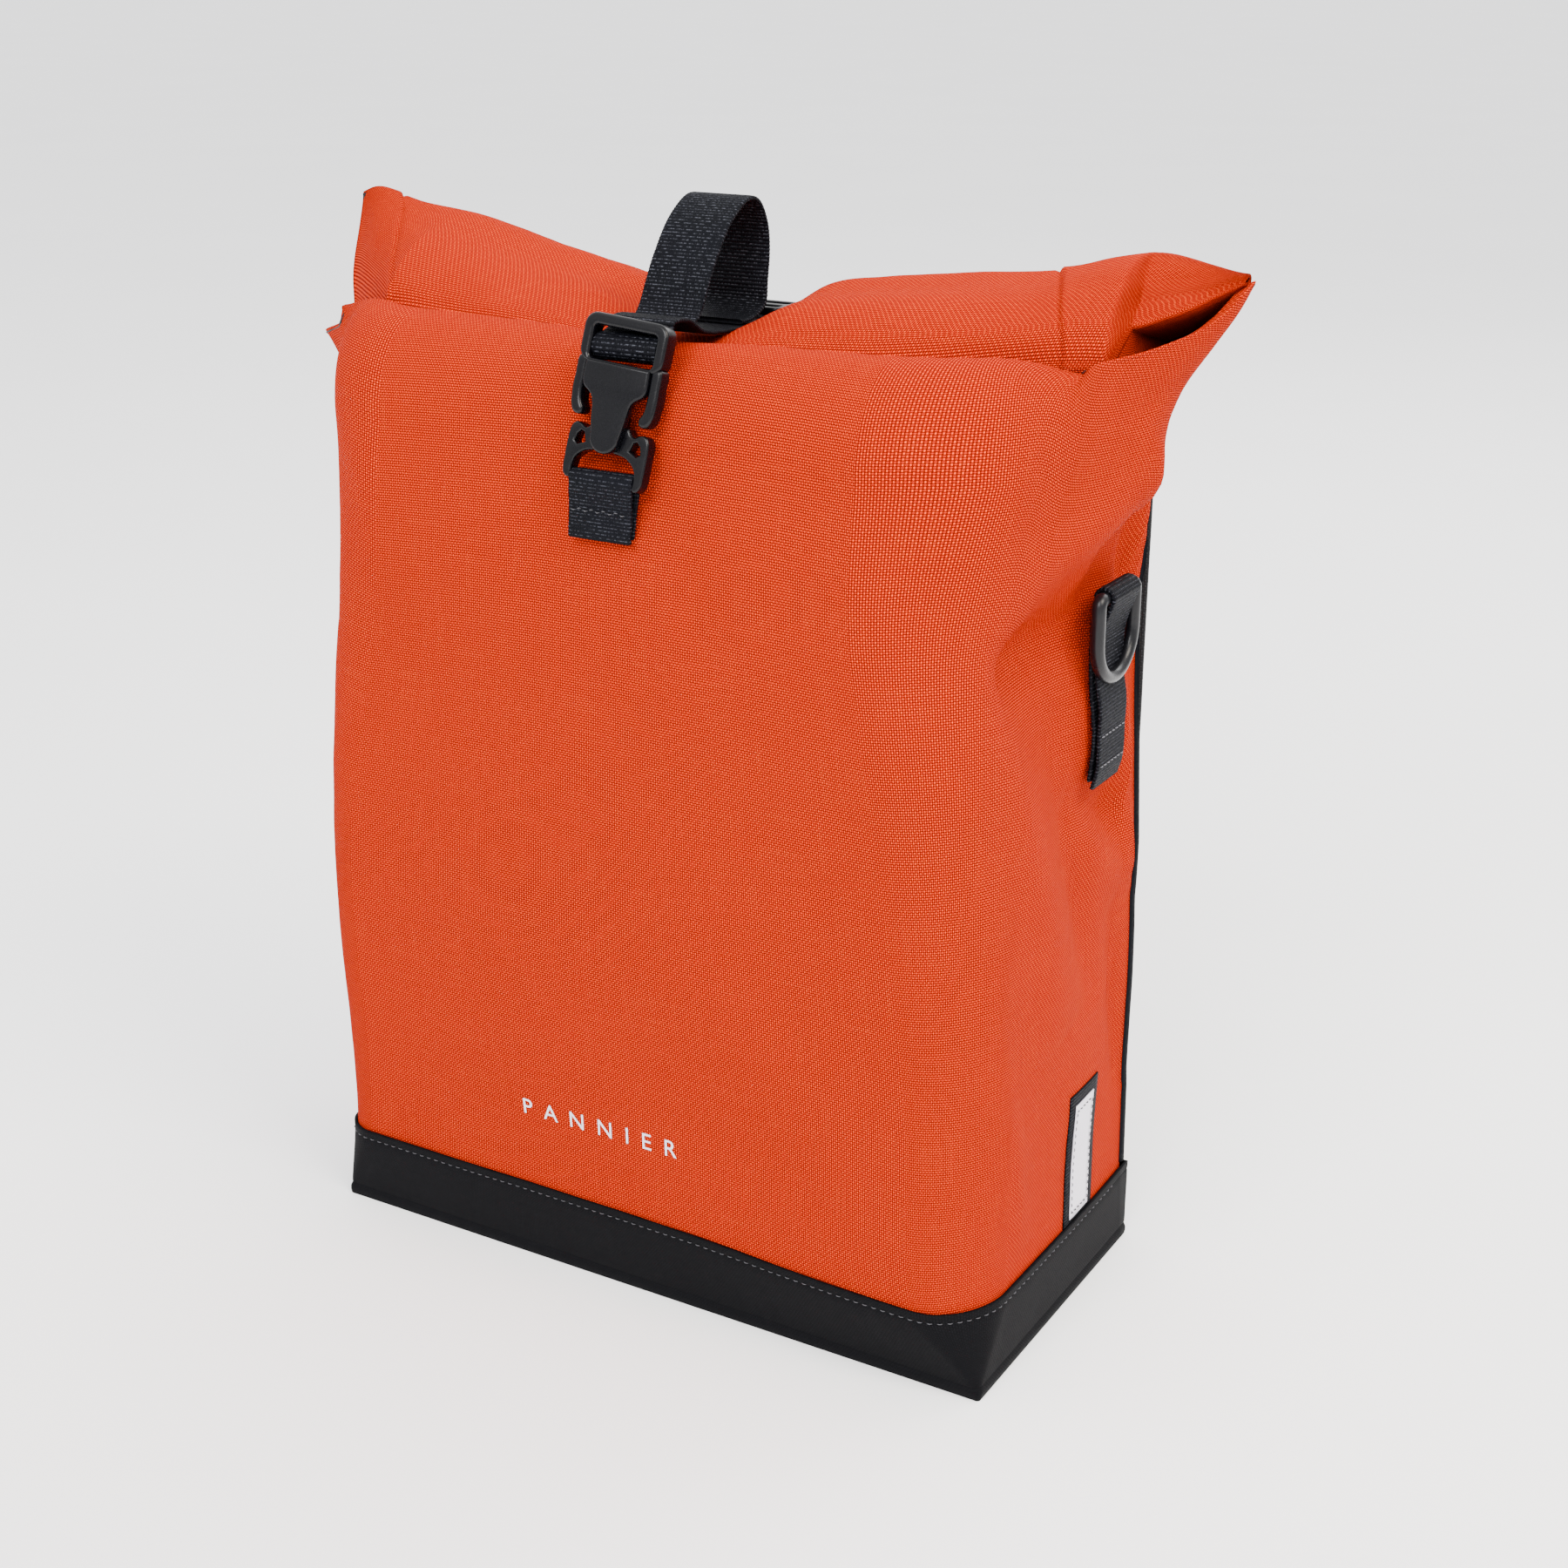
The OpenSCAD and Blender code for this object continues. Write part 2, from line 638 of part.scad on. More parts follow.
// Plate and T-shaped key that slide along the lower rail
module anchor_carriage() {
  color("#1a1a1b") difference() {
    union() {
      translate([anchor_x, carriage_y + carriage_t, low_rail_z]) rotate([90, 0, 0])
        linear_extrude(carriage_t) plate(34, 26, 4);
      translate([anchor_x - 14, rail_face - rail_wall - 0.2, low_rail_z - slot_h / 2 + 0.3])
        cube([28, rail_wall + 0.6, slot_h - 0.6]);
    }
    y_rod(anchor_x, rail_y0, low_rail_z, 3.05, 30);
  }
}

module anchor_nut() {
  color("silver") difference() {
    translate([anchor_x, t_nut_y + 2.1, low_rail_z]) rotate([90, 0, 0]) linear_extrude(2.1) plate(28, 15, 2);
    y_rod(anchor_x, t_nut_y - 1, low_rail_z, 3.05, 5);
  }
}

module anchor_bolt() {
  color("silver") {
    y_rod(anchor_x, t_nut_y, low_rail_z, 3, hub_y + arm_t + 0.3 - t_nut_y);
    y_rod(anchor_x, hub_y + arm_t + 0.3, low_rail_z, 6, 3);
  }
}

// Swivel arm with a claw that snaps round an upright rod
module anchor_hook() {
  color("#1a1a1b") difference() {
    union() {
      translate([0, hub_y + arm_t, low_rail_z]) rotate([90, 0, 0]) linear_extrude(arm_t) {
        circle(10, $fn = 64);
        translate([0, -7]) square([rod_x - anchor_rod_r, 14]);
      }
      translate([rod_x, rod_y + 3, low_rail_z - 8]) cylinder(r = anchor_rod_r + 3, h = 16, $fn = 96);
    }
    y_rod(0, hub_y - 1, low_rail_z, 3.06, arm_t + 2);
    translate([rod_x, rod_y + 3, low_rail_z - 10]) cylinder(r = anchor_rod_r, h = 20, $fn = 96);
    translate([rod_x - 1, rod_y + 3 - 4.4, low_rail_z - 10]) cube([30, 8.8, 20]);
  }
}

front_shell();
back_panel();
base_band();
base_panel();
base_board();
back_stiffener();
liner();
front_tab();
buckle_socket();
strap_anchor();
reflector(-1);  // reflector_left
reflector(1);  // reflector_right
reflector_trim(-1);  // reflector_trim_left
reflector_trim(1);  // reflector_trim_right
dring_tab(-1);  // dring_tab_left
dring_tab(1);  // dring_tab_right
dring(-1);  // dring_left
dring(1);  // dring_right
roll_top();
hem_stiffener();
closure_strap();
handle_loop();
strap_slider();
buckle_plug();
buckle_arm(-1);  // buckle_arm_left
buckle_arm(1);  // buckle_arm_right
upper_rail();
lower_rail();
rail_end_caps();
rail_screws();
rail_nuts();
hook(-1);  // hook_left
hook(1);  // hook_right
hook_liner(-1);  // hook_liner_left
hook_liner(1);  // hook_liner_right
hook_screws(-1);  // hook_screws_left
hook_screws(1);  // hook_screws_right
t_nut(-1);  // t_nut_left
t_nut(1);  // t_nut_right
cam_pin(-1);  // cam_pin_left
cam_pin(1);  // cam_pin_right
cam_spring(-1);  // cam_spring_left
cam_spring(1);  // cam_spring_right
cam_lever(-1);  // cam_lever_left
cam_lever(1);  // cam_lever_right
anchor_carriage();
anchor_nut();
anchor_bolt();
anchor_hook();
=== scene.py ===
"""Roll-top pannier bag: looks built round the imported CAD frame. Shapes are worked out in millimetres."""
import math

import bpy
import numpy as np
from mathutils import Matrix, Vector, noise


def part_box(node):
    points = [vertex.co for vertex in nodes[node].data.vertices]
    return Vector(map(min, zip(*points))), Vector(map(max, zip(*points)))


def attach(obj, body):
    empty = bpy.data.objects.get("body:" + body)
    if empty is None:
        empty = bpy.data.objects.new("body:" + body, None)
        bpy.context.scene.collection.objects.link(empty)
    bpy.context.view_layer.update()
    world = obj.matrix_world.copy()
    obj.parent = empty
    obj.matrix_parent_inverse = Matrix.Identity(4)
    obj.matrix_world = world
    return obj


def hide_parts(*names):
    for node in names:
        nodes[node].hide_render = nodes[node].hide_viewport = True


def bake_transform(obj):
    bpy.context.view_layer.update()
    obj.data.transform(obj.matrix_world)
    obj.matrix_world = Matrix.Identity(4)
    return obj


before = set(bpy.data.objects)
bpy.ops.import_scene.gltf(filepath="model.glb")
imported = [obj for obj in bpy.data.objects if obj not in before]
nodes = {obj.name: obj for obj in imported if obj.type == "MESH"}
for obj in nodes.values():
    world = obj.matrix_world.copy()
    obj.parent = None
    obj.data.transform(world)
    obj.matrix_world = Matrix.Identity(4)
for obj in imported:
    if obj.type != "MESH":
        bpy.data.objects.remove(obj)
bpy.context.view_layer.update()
MM = 0.001


def box_mm(node):
    """Lowest and highest corners of a CAD node, in millimetres."""
    lo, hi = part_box(node)
    return np.array(lo) / MM, np.array(hi) / MM


# ---------------------------------------------------------------- driving sizes, from the frame
band_hi = box_mm("base_band")[1]
shell_hi = box_mm("front_shell")[1]
panel_lo, panel_hi = box_mm("back_panel")
strap_lo, strap_hi = box_mm("closure_strap")
HALF_W = band_hi[0]
HALF_D = band_hi[1]
BAND_H = band_hi[2]
LIP_Z = shell_hi[2]
BACK_Y = panel_lo[1]
PANEL_TOP = panel_hi[2]
WEB_W = strap_hi[0] - strap_lo[0]
WEB_T = 1.6
TAB_W = WEB_W - 2.4


# ---------------------------------------------------------------- small maths
def clamp01(t):
    return np.clip(t, 0.0, 1.0)


def smooth(t):
    t = clamp01(t)
    return t * t * (3 - 2 * t)


def mix(a, b, t):
    return a + (b - a) * t


def bump(x, middle, width):
    return np.exp(-(((x - middle) / width) ** 2))


def table(x, pairs):
    """Smooth curve through a few (x, value) points."""
    xs = np.array([p[0] for p in pairs], float)
    ys = np.array([p[1] for p in pairs], float)
    x = np.asarray(x, float)
    slope = np.gradient(ys, xs)
    i = np.clip(np.searchsorted(xs, x) - 1, 0, len(xs) - 2)
    h = xs[i + 1] - xs[i]
    t = clamp01((x - xs[i]) / h)
    a = (1 + 2 * t) * (1 - t) ** 2
    b = t * (1 - t) ** 2
    c = t * t * (3 - 2 * t)
    d = t * t * (t - 1)
    return a * ys[i] + b * h * slope[i] + c * ys[i + 1] + d * h * slope[i + 1]


def run_at(points):
    """Distance along a line of points, at each point."""
    return np.concatenate([[0], np.cumsum(np.linalg.norm(np.diff(points, axis=0), axis=1))])


def spline(points, step):
    """Points about step apart on a smooth curve through the given ones."""
    p = np.array(points, float)
    q = np.vstack([2 * p[0] - p[1], p, 2 * p[-1] - p[-2]])
    out = []
    for i in range(1, len(q) - 2):
        n = max(2, int(np.linalg.norm(q[i + 1] - q[i]) / step * 3))
        t = np.linspace(0, 1, n, endpoint=False)[:, None]
        out.append(0.5 * (2 * q[i] + (q[i + 1] - q[i - 1]) * t
                          + (2 * q[i - 1] - 5 * q[i] + 4 * q[i + 1] - q[i + 2]) * t ** 2
                          + (3 * q[i] - q[i - 1] - 3 * q[i + 1] + q[i + 2]) * t ** 3))
    out.append(p[-1][None])
    line = np.vstack(out)
    run = run_at(line)
    at = np.linspace(0, run[-1], max(3, int(round(run[-1] / step)) + 1))
    return np.stack([np.interp(at, run, line[:, k]) for k in range(line.shape[1])], axis=1)


def wander(points, scale, depth=3, seed=0.0):
    """Soft noise between about -1 and 1 at each point of an array."""
    flat = points.reshape(-1, 3)
    out = np.array([noise.fractal(Vector(p) / scale + Vector((seed, 0, 0)), 1.0, 2.0, depth) for p in flat])
    return out.reshape(points.shape[:-1])


def grid_normals(p, ring=False):
    """Unit normals of a grid of points."""
    if ring:
        du = np.roll(p, -1, axis=1) - np.roll(p, 1, axis=1)
    else:
        du = np.gradient(p, axis=1)
    dv = np.gradient(p, axis=0)
    n = np.cross(du, dv)
    return n / np.maximum(np.linalg.norm(n, axis=2, keepdims=True), 1e-9)


# ---------------------------------------------------------------- meshes
def in_scene(name, data):
    obj = bpy.data.objects.new(name, data)
    bpy.context.scene.collection.objects.link(obj)
    return obj


def curve_mesh(name, curve, material):
    """Turns a curve or a text into a mesh of one material."""
    holder = in_scene(name + "_holder", curve)
    bpy.context.view_layer.update()
    mesh = bpy.data.meshes.new_from_object(holder.evaluated_get(bpy.context.evaluated_depsgraph_get()))
    bpy.data.objects.remove(holder)
    bpy.data.curves.remove(curve)
    mesh.materials.clear()
    mesh.materials.append(material)
    return mesh


def new_piece(name, verts_mm, faces, material, uv=None):
    mesh = bpy.data.meshes.new(name)
    mesh.from_pydata((np.asarray(verts_mm) * MM).tolist(), [], [list(map(int, f)) for f in faces])
    mesh.materials.append(material)
    if uv is not None:
        layer = mesh.uv_layers.new(name="cloth")
        index = np.zeros(len(mesh.loops), int)
        mesh.loops.foreach_get("vertex_index", index)
        layer.data.foreach_set("uv", np.asarray(uv)[index].ravel())
    mesh.validate()
    mesh.shade_smooth()
    return in_scene(name, mesh)


def arc_uv(p):
    """Distances along the rows and columns of a grid, in metres, for the weave."""
    mid = p[p.shape[0] // 2]
    u = run_at(mid)
    v = np.concatenate([np.zeros((1, p.shape[1])),
                        np.cumsum(np.linalg.norm(np.diff(p, axis=0), axis=2), axis=0)])
    return np.stack([np.broadcast_to(u, v.shape), v], axis=2).reshape(-1, 2) * MM


def grid_faces(rows, cols, ring=False):
    last = cols if ring else cols - 1
    return [(i * cols + j, i * cols + (j + 1) % cols, (i + 1) * cols + (j + 1) % cols, (i + 1) * cols + j)
            for i in range(rows - 1) for j in range(last)]


def cloth_grid(name, p, material, thick, inner=None, ring=False):
    """A sheet of cloth on a grid of points, thickened inwards."""
    rows, cols = p.shape[:2]
    obj = new_piece(name, p.reshape(-1, 3), grid_faces(rows, cols, ring), material, arc_uv(p))
    if inner is not None:
        obj.data.materials.append(inner)
    solid = obj.modifiers.new("thickness", "SOLIDIFY")
    solid.thickness = thick * MM
    solid.offset = -1
    solid.use_even_offset = False
    if inner is not None:
        solid.material_offset = 1
        solid.material_offset_rim = 0
    return obj


def join(name, parts):
    """Joins objects into one piece and keeps the first one's materials."""
    bpy.ops.object.select_all(action="DESELECT")
    for part in parts:
        part.select_set(True)
    bpy.context.view_layer.objects.active = parts[0]
    bpy.ops.object.join()
    parts[0].name = name
    return parts[0]


def ribbon(name, line, across, width, thick, material, rib=1.3, rib_depth=0.10, step=0.42):
    """Webbing along a line of points; across is its constant width direction."""
    c = spline(line, step)
    t = np.gradient(c, axis=0)
    t /= np.linalg.norm(t, axis=1, keepdims=True)
    a = np.array(across, float)
    n = np.cross(a, t)
    n /= np.linalg.norm(n, axis=1, keepdims=True)
    run = run_at(c)
    wave = 0.5 + 0.5 * np.cos(2 * math.pi * run / rib)
    edge = [(-1, 0), (-0.985, 0.62), (-0.95, 0.92), (-0.85, 1), (-0.5, 1), (0, 1), (0.5, 1), (0.85, 1),
            (0.95, 0.92), (0.985, 0.62), (1, 0)]
    ring = edge + [(x, -y) for x, y in edge[-2:0:-1]]
    rows = []
    for x, y in ring:
        depth = y * thick / 2 - math.copysign(rib_depth, y) * wave * (abs(y) > 0.5)
        side = x * (width / 2 - 0.12 * wave * (abs(x) > 0.9))
        rows.append(c + a * np.reshape(side * np.ones(len(c)), (-1, 1)) + n * np.reshape(depth, (-1, 1)))
    p = np.stack(rows, axis=1)
    count = len(ring)
    faces = grid_faces(len(c), count, ring=True)
    faces.append(tuple(range(count)))
    faces.append(tuple((len(c) - 1) * count + k for k in reversed(range(count))))
    u = np.array([x for x, _ in ring]) * width / 2
    uv = np.stack([np.broadcast_to(u, (len(c), count)), np.broadcast_to(run[:, None], (len(c), count))],
                  axis=2)
    faces = [tuple(reversed(f)) for f in faces]
    return new_piece(name, p.reshape(-1, 3), faces, material, uv.reshape(-1, 2) * MM)


def plate_mesh(name, outlines, depth, edge, material, segments=2):
    """A plate from z = 0 to depth with rounded edges, from closed outlines; inner outlines cut holes."""
    curve = bpy.data.curves.new(name, "CURVE")
    curve.dimensions = "2D"
    curve.fill_mode = "BOTH"
    curve.extrude = (depth / 2 - edge) * MM
    curve.bevel_depth = edge * MM
    curve.bevel_resolution = segments
    curve.offset = -edge * MM
    for outline in outlines:
        line = curve.splines.new("POLY")
        line.points.add(len(outline) - 1)
        for point, (x, y) in zip(line.points, outline):
            point.co = (x * MM, y * MM, 0, 1)
        line.use_cyclic_u = True
    mesh = curve_mesh(name, curve, material)
    mesh.transform(Matrix.Translation((0, 0, depth / 2 * MM)))
    for face in mesh.polygons:
        face.use_smooth = True
    obj = in_scene(name, mesh)
    weld = obj.modifiers.new("weld", "WELD")
    weld.merge_threshold = 0.00002
    bpy.context.view_layer.objects.active = obj
    bpy.ops.object.modifier_apply(modifier="weld")
    obj.data.set_sharp_from_angle(angle=math.radians(38))
    return obj


def tube(name, line, radius, material, sides=12, closed=False, squash=(1.0, 1.0)):
    """A round or oval rod along a line of points; squash scales it along its two cross directions."""
    c = np.array(line, float)
    t = (np.roll(c, -1, axis=0) - np.roll(c, 1, axis=0)) if closed else np.gradient(c, axis=0)
    t /= np.linalg.norm(t, axis=1, keepdims=True)
    spread = c.max(axis=0) - c.min(axis=0)
    flat_axis = np.eye(3)[int(np.argmin(spread))]
    a = np.cross(t, flat_axis)
    a /= np.maximum(np.linalg.norm(a, axis=1, keepdims=True), 1e-9)
    b = np.cross(t, a)
    radius = np.broadcast_to(radius, (len(c),))[:, None]
    angle = [2 * math.pi * k / sides for k in range(sides)]
    p = np.stack([c + radius * (a * math.cos(k) * squash[0] + b * math.sin(k) * squash[1]) for k in angle],
                 axis=1)
    faces = grid_faces(len(c), sides, ring=True)
    if closed:
        n = (len(c) - 1) * sides
        faces += [(n + j, n + (j + 1) % sides, (j + 1) % sides, j) for j in range(sides)]
    else:
        faces.append(tuple(reversed(range(sides))))
        faces.append(tuple((len(c) - 1) * sides + k for k in range(sides)))
    return new_piece(name, p.reshape(-1, 3), faces, material)


def stitches(name, line, outward, material, length=2.4, gap=1.2, radius=0.22, proud=0.1):
    """A row of sewn stitches: each dips into the cloth at both ends."""
    c = spline(line, 0.3)
    run = run_at(c)
    normal = np.broadcast_to(np.array(outward, float), (len(line), 3))
    at_line = run_at(np.array(line, float))
    at_line *= run[-1] / at_line[-1]
    count = int(run[-1] // (length + gap))
    verts, faces = [], []
    rise = [-0.35, 0.1, 0.26, 0.1, -0.35]
    for k in range(count):
        start = k * (length + gap) + gap / 2
        at = start + length * np.linspace(0, 1, 5)
        p = np.stack([np.interp(at, run, c[:, i]) for i in range(3)], axis=1)
        n = np.stack([np.interp(at, at_line, normal[:, i]) for i in range(3)], axis=1)
        n /= np.linalg.norm(n, axis=1, keepdims=True)
        p = p + n * (np.array(rise)[:, None] + proud)
        t = np.gradient(p, axis=0)
        t /= np.linalg.norm(t, axis=1, keepdims=True)
        side = np.cross(t, n)
        base = len(verts)
        for i in range(5):
            for j in range(6):
                w = 2 * math.pi * j / 6
                verts.append(p[i] + radius * (side[i] * math.cos(w) + n[i] * math.sin(w)))
        faces += [tuple(base + v for v in f) for f in grid_faces(5, 6, ring=True)]
        faces.append(tuple(base + j for j in reversed(range(6))))
        faces.append(tuple(base + 24 + j for j in range(6)))
    return new_piece(name, verts, faces, material)


# ---------------------------------------------------------------- materials
class Tree:
    """Short way to write a material's nodes."""

    def __init__(self, name):
        self.material = bpy.data.materials.new(name)
        self.material.use_nodes = True
        self.tree = self.material.node_tree
        self.shader = self.tree.nodes["Principled BSDF"]

    def node(self, kind, **values):
        made = self.tree.nodes.new(kind)
        for key, value in values.items():
            setattr(made, key, value)
        return made

    def link(self, a, b):
        self.tree.links.new(a, b)

    def put(self, value, socket):
        if isinstance(value, bpy.types.NodeSocket):
            self.link(value, socket)
        else:
            socket.default_value = value

    def math(self, operation, a, b=None):
        made = self.node("ShaderNodeMath", operation=operation)
        self.put(a, made.inputs[0])
        if b is not None:
            self.put(b, made.inputs[1])
        return made.outputs[0]

    def mul(self, a, b):
        return self.math("MULTIPLY", a, b)

    def add(self, a, b):
        return self.math("ADD", a, b)

    def blend(self, amount, a, b):
        made = self.node("ShaderNodeMix", data_type="RGBA", blend_type="MIX")
        self.put(amount, made.inputs[0])
        self.put(a, made.inputs[6])
        self.put(b, made.inputs[7])
        return made.outputs[2]

    def noise(self, scale, detail=3.0, rough=0.5, where=None):
        made = self.node("ShaderNodeTexNoise")
        made.inputs["Scale"].default_value = scale
        made.inputs["Detail"].default_value = detail
        made.inputs["Roughness"].default_value = rough
        self.link(where or self.node("ShaderNodeTexCoord").outputs["Object"], made.inputs["Vector"])
        return made.outputs["Fac"]

    def spread(self, value, low, high, to_low, to_high):
        made = self.node("ShaderNodeMapRange")
        self.link(value, made.inputs[0])
        for k, v in enumerate((low, high, to_low, to_high), 1):
            made.inputs[k].default_value = v
        return made.outputs[0]

    def bump(self, height, distance, strength, after=None):
        made = self.node("ShaderNodeBump")
        made.inputs["Strength"].default_value = strength
        made.inputs["Distance"].default_value = distance
        self.link(height, made.inputs["Height"])
        if after is not None:
            self.link(after, made.inputs["Normal"])
        return made.outputs["Normal"]

    def streak(self, along_u, along_v):
        """Noise drawn out along one thread direction of the cloth."""
        uv = self.node("ShaderNodeUVMap", uv_map="cloth")
        where = self.node("ShaderNodeMapping")
        where.inputs["Scale"].default_value = (along_u, along_v, 1.0)
        self.link(uv.outputs[0], where.inputs["Vector"])
        return self.noise(1.0, 2.0, 0.5, where.outputs[0])

    def cloth_xy(self):
        uv = self.node("ShaderNodeUVMap", uv_map="cloth")
        parts = self.node("ShaderNodeSeparateXYZ")
        self.link(uv.outputs[0], parts.inputs[0])
        return parts.outputs[0], parts.outputs[1]


def shade(rgb, k):
    return tuple(min(1.0, c * k) for c in rgb) + (1.0,)


def woven(name, rgb, pitch_u, pitch_v, light, gap_shade, rough, depth, crown_highlight=0.5, shine=0.2, patch=0.12):
    """Plain weave: threads cross over and under, with painted shade in the gaps between threads, a painted
    highlight on each crown, and soft patches.
    """
    m = Tree(name)
    u, v = m.cloth_xy()
    wobble = m.noise(260.0, 2.0)
    u = m.add(m.math("DIVIDE", u, pitch_u), m.mul(wobble, 0.22))
    v = m.add(m.math("DIVIDE", v, pitch_v), m.mul(wobble, 0.22))
    cell = m.add(m.math("FLOOR", u), m.math("FLOOR", v))
    over = m.mul(m.math("FRACT", m.mul(cell, 0.5)), 2.0)
    fu = m.math("SUBTRACT", m.math("FRACT", u), 0.5)
    fv = m.math("SUBTRACT", m.math("FRACT", v), 0.5)
    warp = m.math("SUBTRACT", 1.0, m.add(m.mul(m.mul(fu, fu), 3.6),
                                          m.mul(m.mul(fv, fv), 1.6)))
    weft = m.math("SUBTRACT", 1.0, m.add(m.mul(m.mul(fv, fv), 3.6),
                                          m.mul(m.mul(fu, fu), 1.6)))
    height = m.add(m.mul(over, warp),
                    m.mul(m.math("SUBTRACT", 1.0, over), m.mul(weft, 0.86)))
    crown = m.spread(height, 0.45, 1.0, 0.0, 1.0)
    cloud = m.noise(9.0, 4.0, 0.6)
    yarn = m.noise(900.0, 2.0)
    # The gaps between threads are darker: painted shade in the weave's hollows.
    base = m.blend(crown, shade(rgb, gap_shade), shade(rgb, 1.0))
    # A painted highlight sits on the crown of each over thread, in the light colour.
    crown_highlight_at = m.mul(m.mul(m.math("POWER", crown, 3.0), over), crown_highlight)
    base = m.blend(m.mul(crown_highlight_at, m.spread(yarn, 0.35, 0.65, 0.5, 1.0)), base, light + (1.0,))
    base = m.blend(m.spread(cloud, 0.3, 0.7, 0.0, patch), base, shade(rgb, 0.55))
    streaks = m.add(m.streak(38.0, 1500.0), m.streak(1500.0, 38.0))
    base = m.blend(m.spread(streaks, 0.8, 1.25, 0.0, 0.12), base, shade(rgb, 0.42))
    base = m.blend(m.spread(streaks, 0.95, 0.7, 0.0, 0.06), base, light + (1.0,))
    m.link(base, m.shader.inputs["Base Color"])
    m.link(m.spread(m.add(crown, m.mul(cloud, 0.4)), 0.0, 1.4, rough + 0.12, rough - 0.06),
           m.shader.inputs["Roughness"])
    m.shader.inputs["Specular IOR Level"].default_value = shine
    slub = m.bump(m.noise(60.0, 3.0), 0.0006, 0.35)
    m.link(m.bump(height, depth, 0.9, slub), m.shader.inputs["Normal"])
    return m.material


def webbing_look(name, rgb, light):
    """Ribbed nylon webbing: fine warp threads along it, ribs across it, broken glints on the ribs."""
    m = Tree(name)
    u, v = m.cloth_xy()
    threads = m.math("SINE", m.mul(u, 2 * math.pi / 0.0009))
    ribs = m.math("SINE", m.mul(v, 2 * math.pi / 0.0013))
    grain = m.noise(1100.0, 2.0)
    height = m.add(m.mul(threads, 0.35), m.mul(ribs, 0.5))
    height = m.add(height, m.mul(grain, 0.8))
    glint = m.mul(m.spread(ribs, 0.3, 1.0, 0.0, 1.0), m.spread(grain, 0.45, 0.68, 0.0, 1.0))
    wear = m.spread(m.noise(45.0, 4.0), 0.35, 0.75, 0.0, 0.35)
    base = m.blend(m.mul(glint, 0.8), rgb + (1.0,), light + (1.0,))
    base = m.blend(wear, base, shade(rgb, 2.4))
    m.link(base, m.shader.inputs["Base Color"])
    m.link(m.spread(grain, 0.3, 0.7, 0.5, 0.72), m.shader.inputs["Roughness"])
    m.shader.inputs["Specular IOR Level"].default_value = 0.05
    m.link(m.bump(height, 0.00022, 0.9), m.shader.inputs["Normal"])
    return m.material


def moulded(name, rgb, rough, grain_scale=900.0, grain=0.00003, shine=0.36, wear=0.25):
    """Moulded plastic: fine spark texture, faint flow marks, rubbed patches."""
    m = Tree(name)
    fine = m.noise(grain_scale, 2.0)
    flow = m.noise(38.0, 4.0, 0.6)
    base = m.blend(m.spread(flow, 0.35, 0.75, 0.0, wear), rgb + (1.0,), shade(rgb, 1.9))
    m.link(base, m.shader.inputs["Base Color"])
    m.link(m.spread(m.add(m.mul(fine, 0.4), m.mul(flow, 0.6)),
                    0.3, 0.7, rough - 0.06, rough + 0.10), m.shader.inputs["Roughness"])
    m.shader.inputs["Specular IOR Level"].default_value = shine
    m.link(m.bump(fine, grain, 0.6), m.shader.inputs["Normal"])
    return m.material


def brushed(name, rgb, rough, stretch=(1.0, 40.0, 40.0)):
    """Metal with fine lines along one axis and light handling marks."""
    m = Tree(name)
    where = m.node("ShaderNodeMapping")
    where.inputs["Scale"].default_value = stretch
    m.link(m.node("ShaderNodeTexCoord").outputs["Object"], where.inputs["Vector"])
    lines = m.noise(90.0, 4.0, 0.7, where.outputs[0])
    marks = m.noise(30.0, 4.0, 0.6)
    m.link(m.blend(m.spread(marks, 0.4, 0.7, 0.0, 0.4), rgb + (1.0,), shade(rgb, 0.72)),
           m.shader.inputs["Base Color"])
    m.shader.inputs["Metallic"].default_value = 1.0
    m.link(m.spread(m.add(m.mul(lines, 0.6), m.mul(marks, 0.4)),
                    0.3, 0.7, rough - 0.08, rough + 0.12), m.shader.inputs["Roughness"])
    m.link(m.bump(lines, 0.00002, 0.5), m.shader.inputs["Normal"])
    return m.material


def retroreflective(name, rgb):
    """Silver reflective tape: tiny beads under a smooth skin."""
    m = Tree(name)
    cells = m.node("ShaderNodeTexVoronoi")
    cells.inputs["Scale"].default_value = 1600.0
    m.link(m.node("ShaderNodeTexCoord").outputs["Object"], cells.inputs["Vector"])
    cloud = m.noise(70.0, 3.0)
    base = m.blend(m.spread(cells.outputs["Distance"], 0.0, 0.6, 0.0, 0.35), rgb + (1.0,), shade(rgb, 0.7))
    base = m.blend(m.spread(cloud, 0.35, 0.7, 0.0, 0.25), base, shade(rgb, 0.82))
    m.link(base, m.shader.inputs["Base Color"])
    m.shader.inputs["Metallic"].default_value = 0.25
    m.link(m.spread(cloud, 0.3, 0.7, 0.28, 0.42), m.shader.inputs["Roughness"])
    m.link(m.bump(cells.outputs["Distance"], 0.00004, 0.4), m.shader.inputs["Normal"])
    return m.material


def thread(name, rgb):
    m = Tree(name)
    twist = m.noise(2600.0, 2.0)
    m.link(m.blend(m.spread(twist, 0.3, 0.7, 0.0, 1.0), shade(rgb, 0.6), shade(rgb, 1.2)),
           m.shader.inputs["Base Color"])
    m.shader.inputs["Roughness"].default_value = 0.6
    m.link(m.bump(twist, 0.00005, 0.6), m.shader.inputs["Normal"])
    return m.material


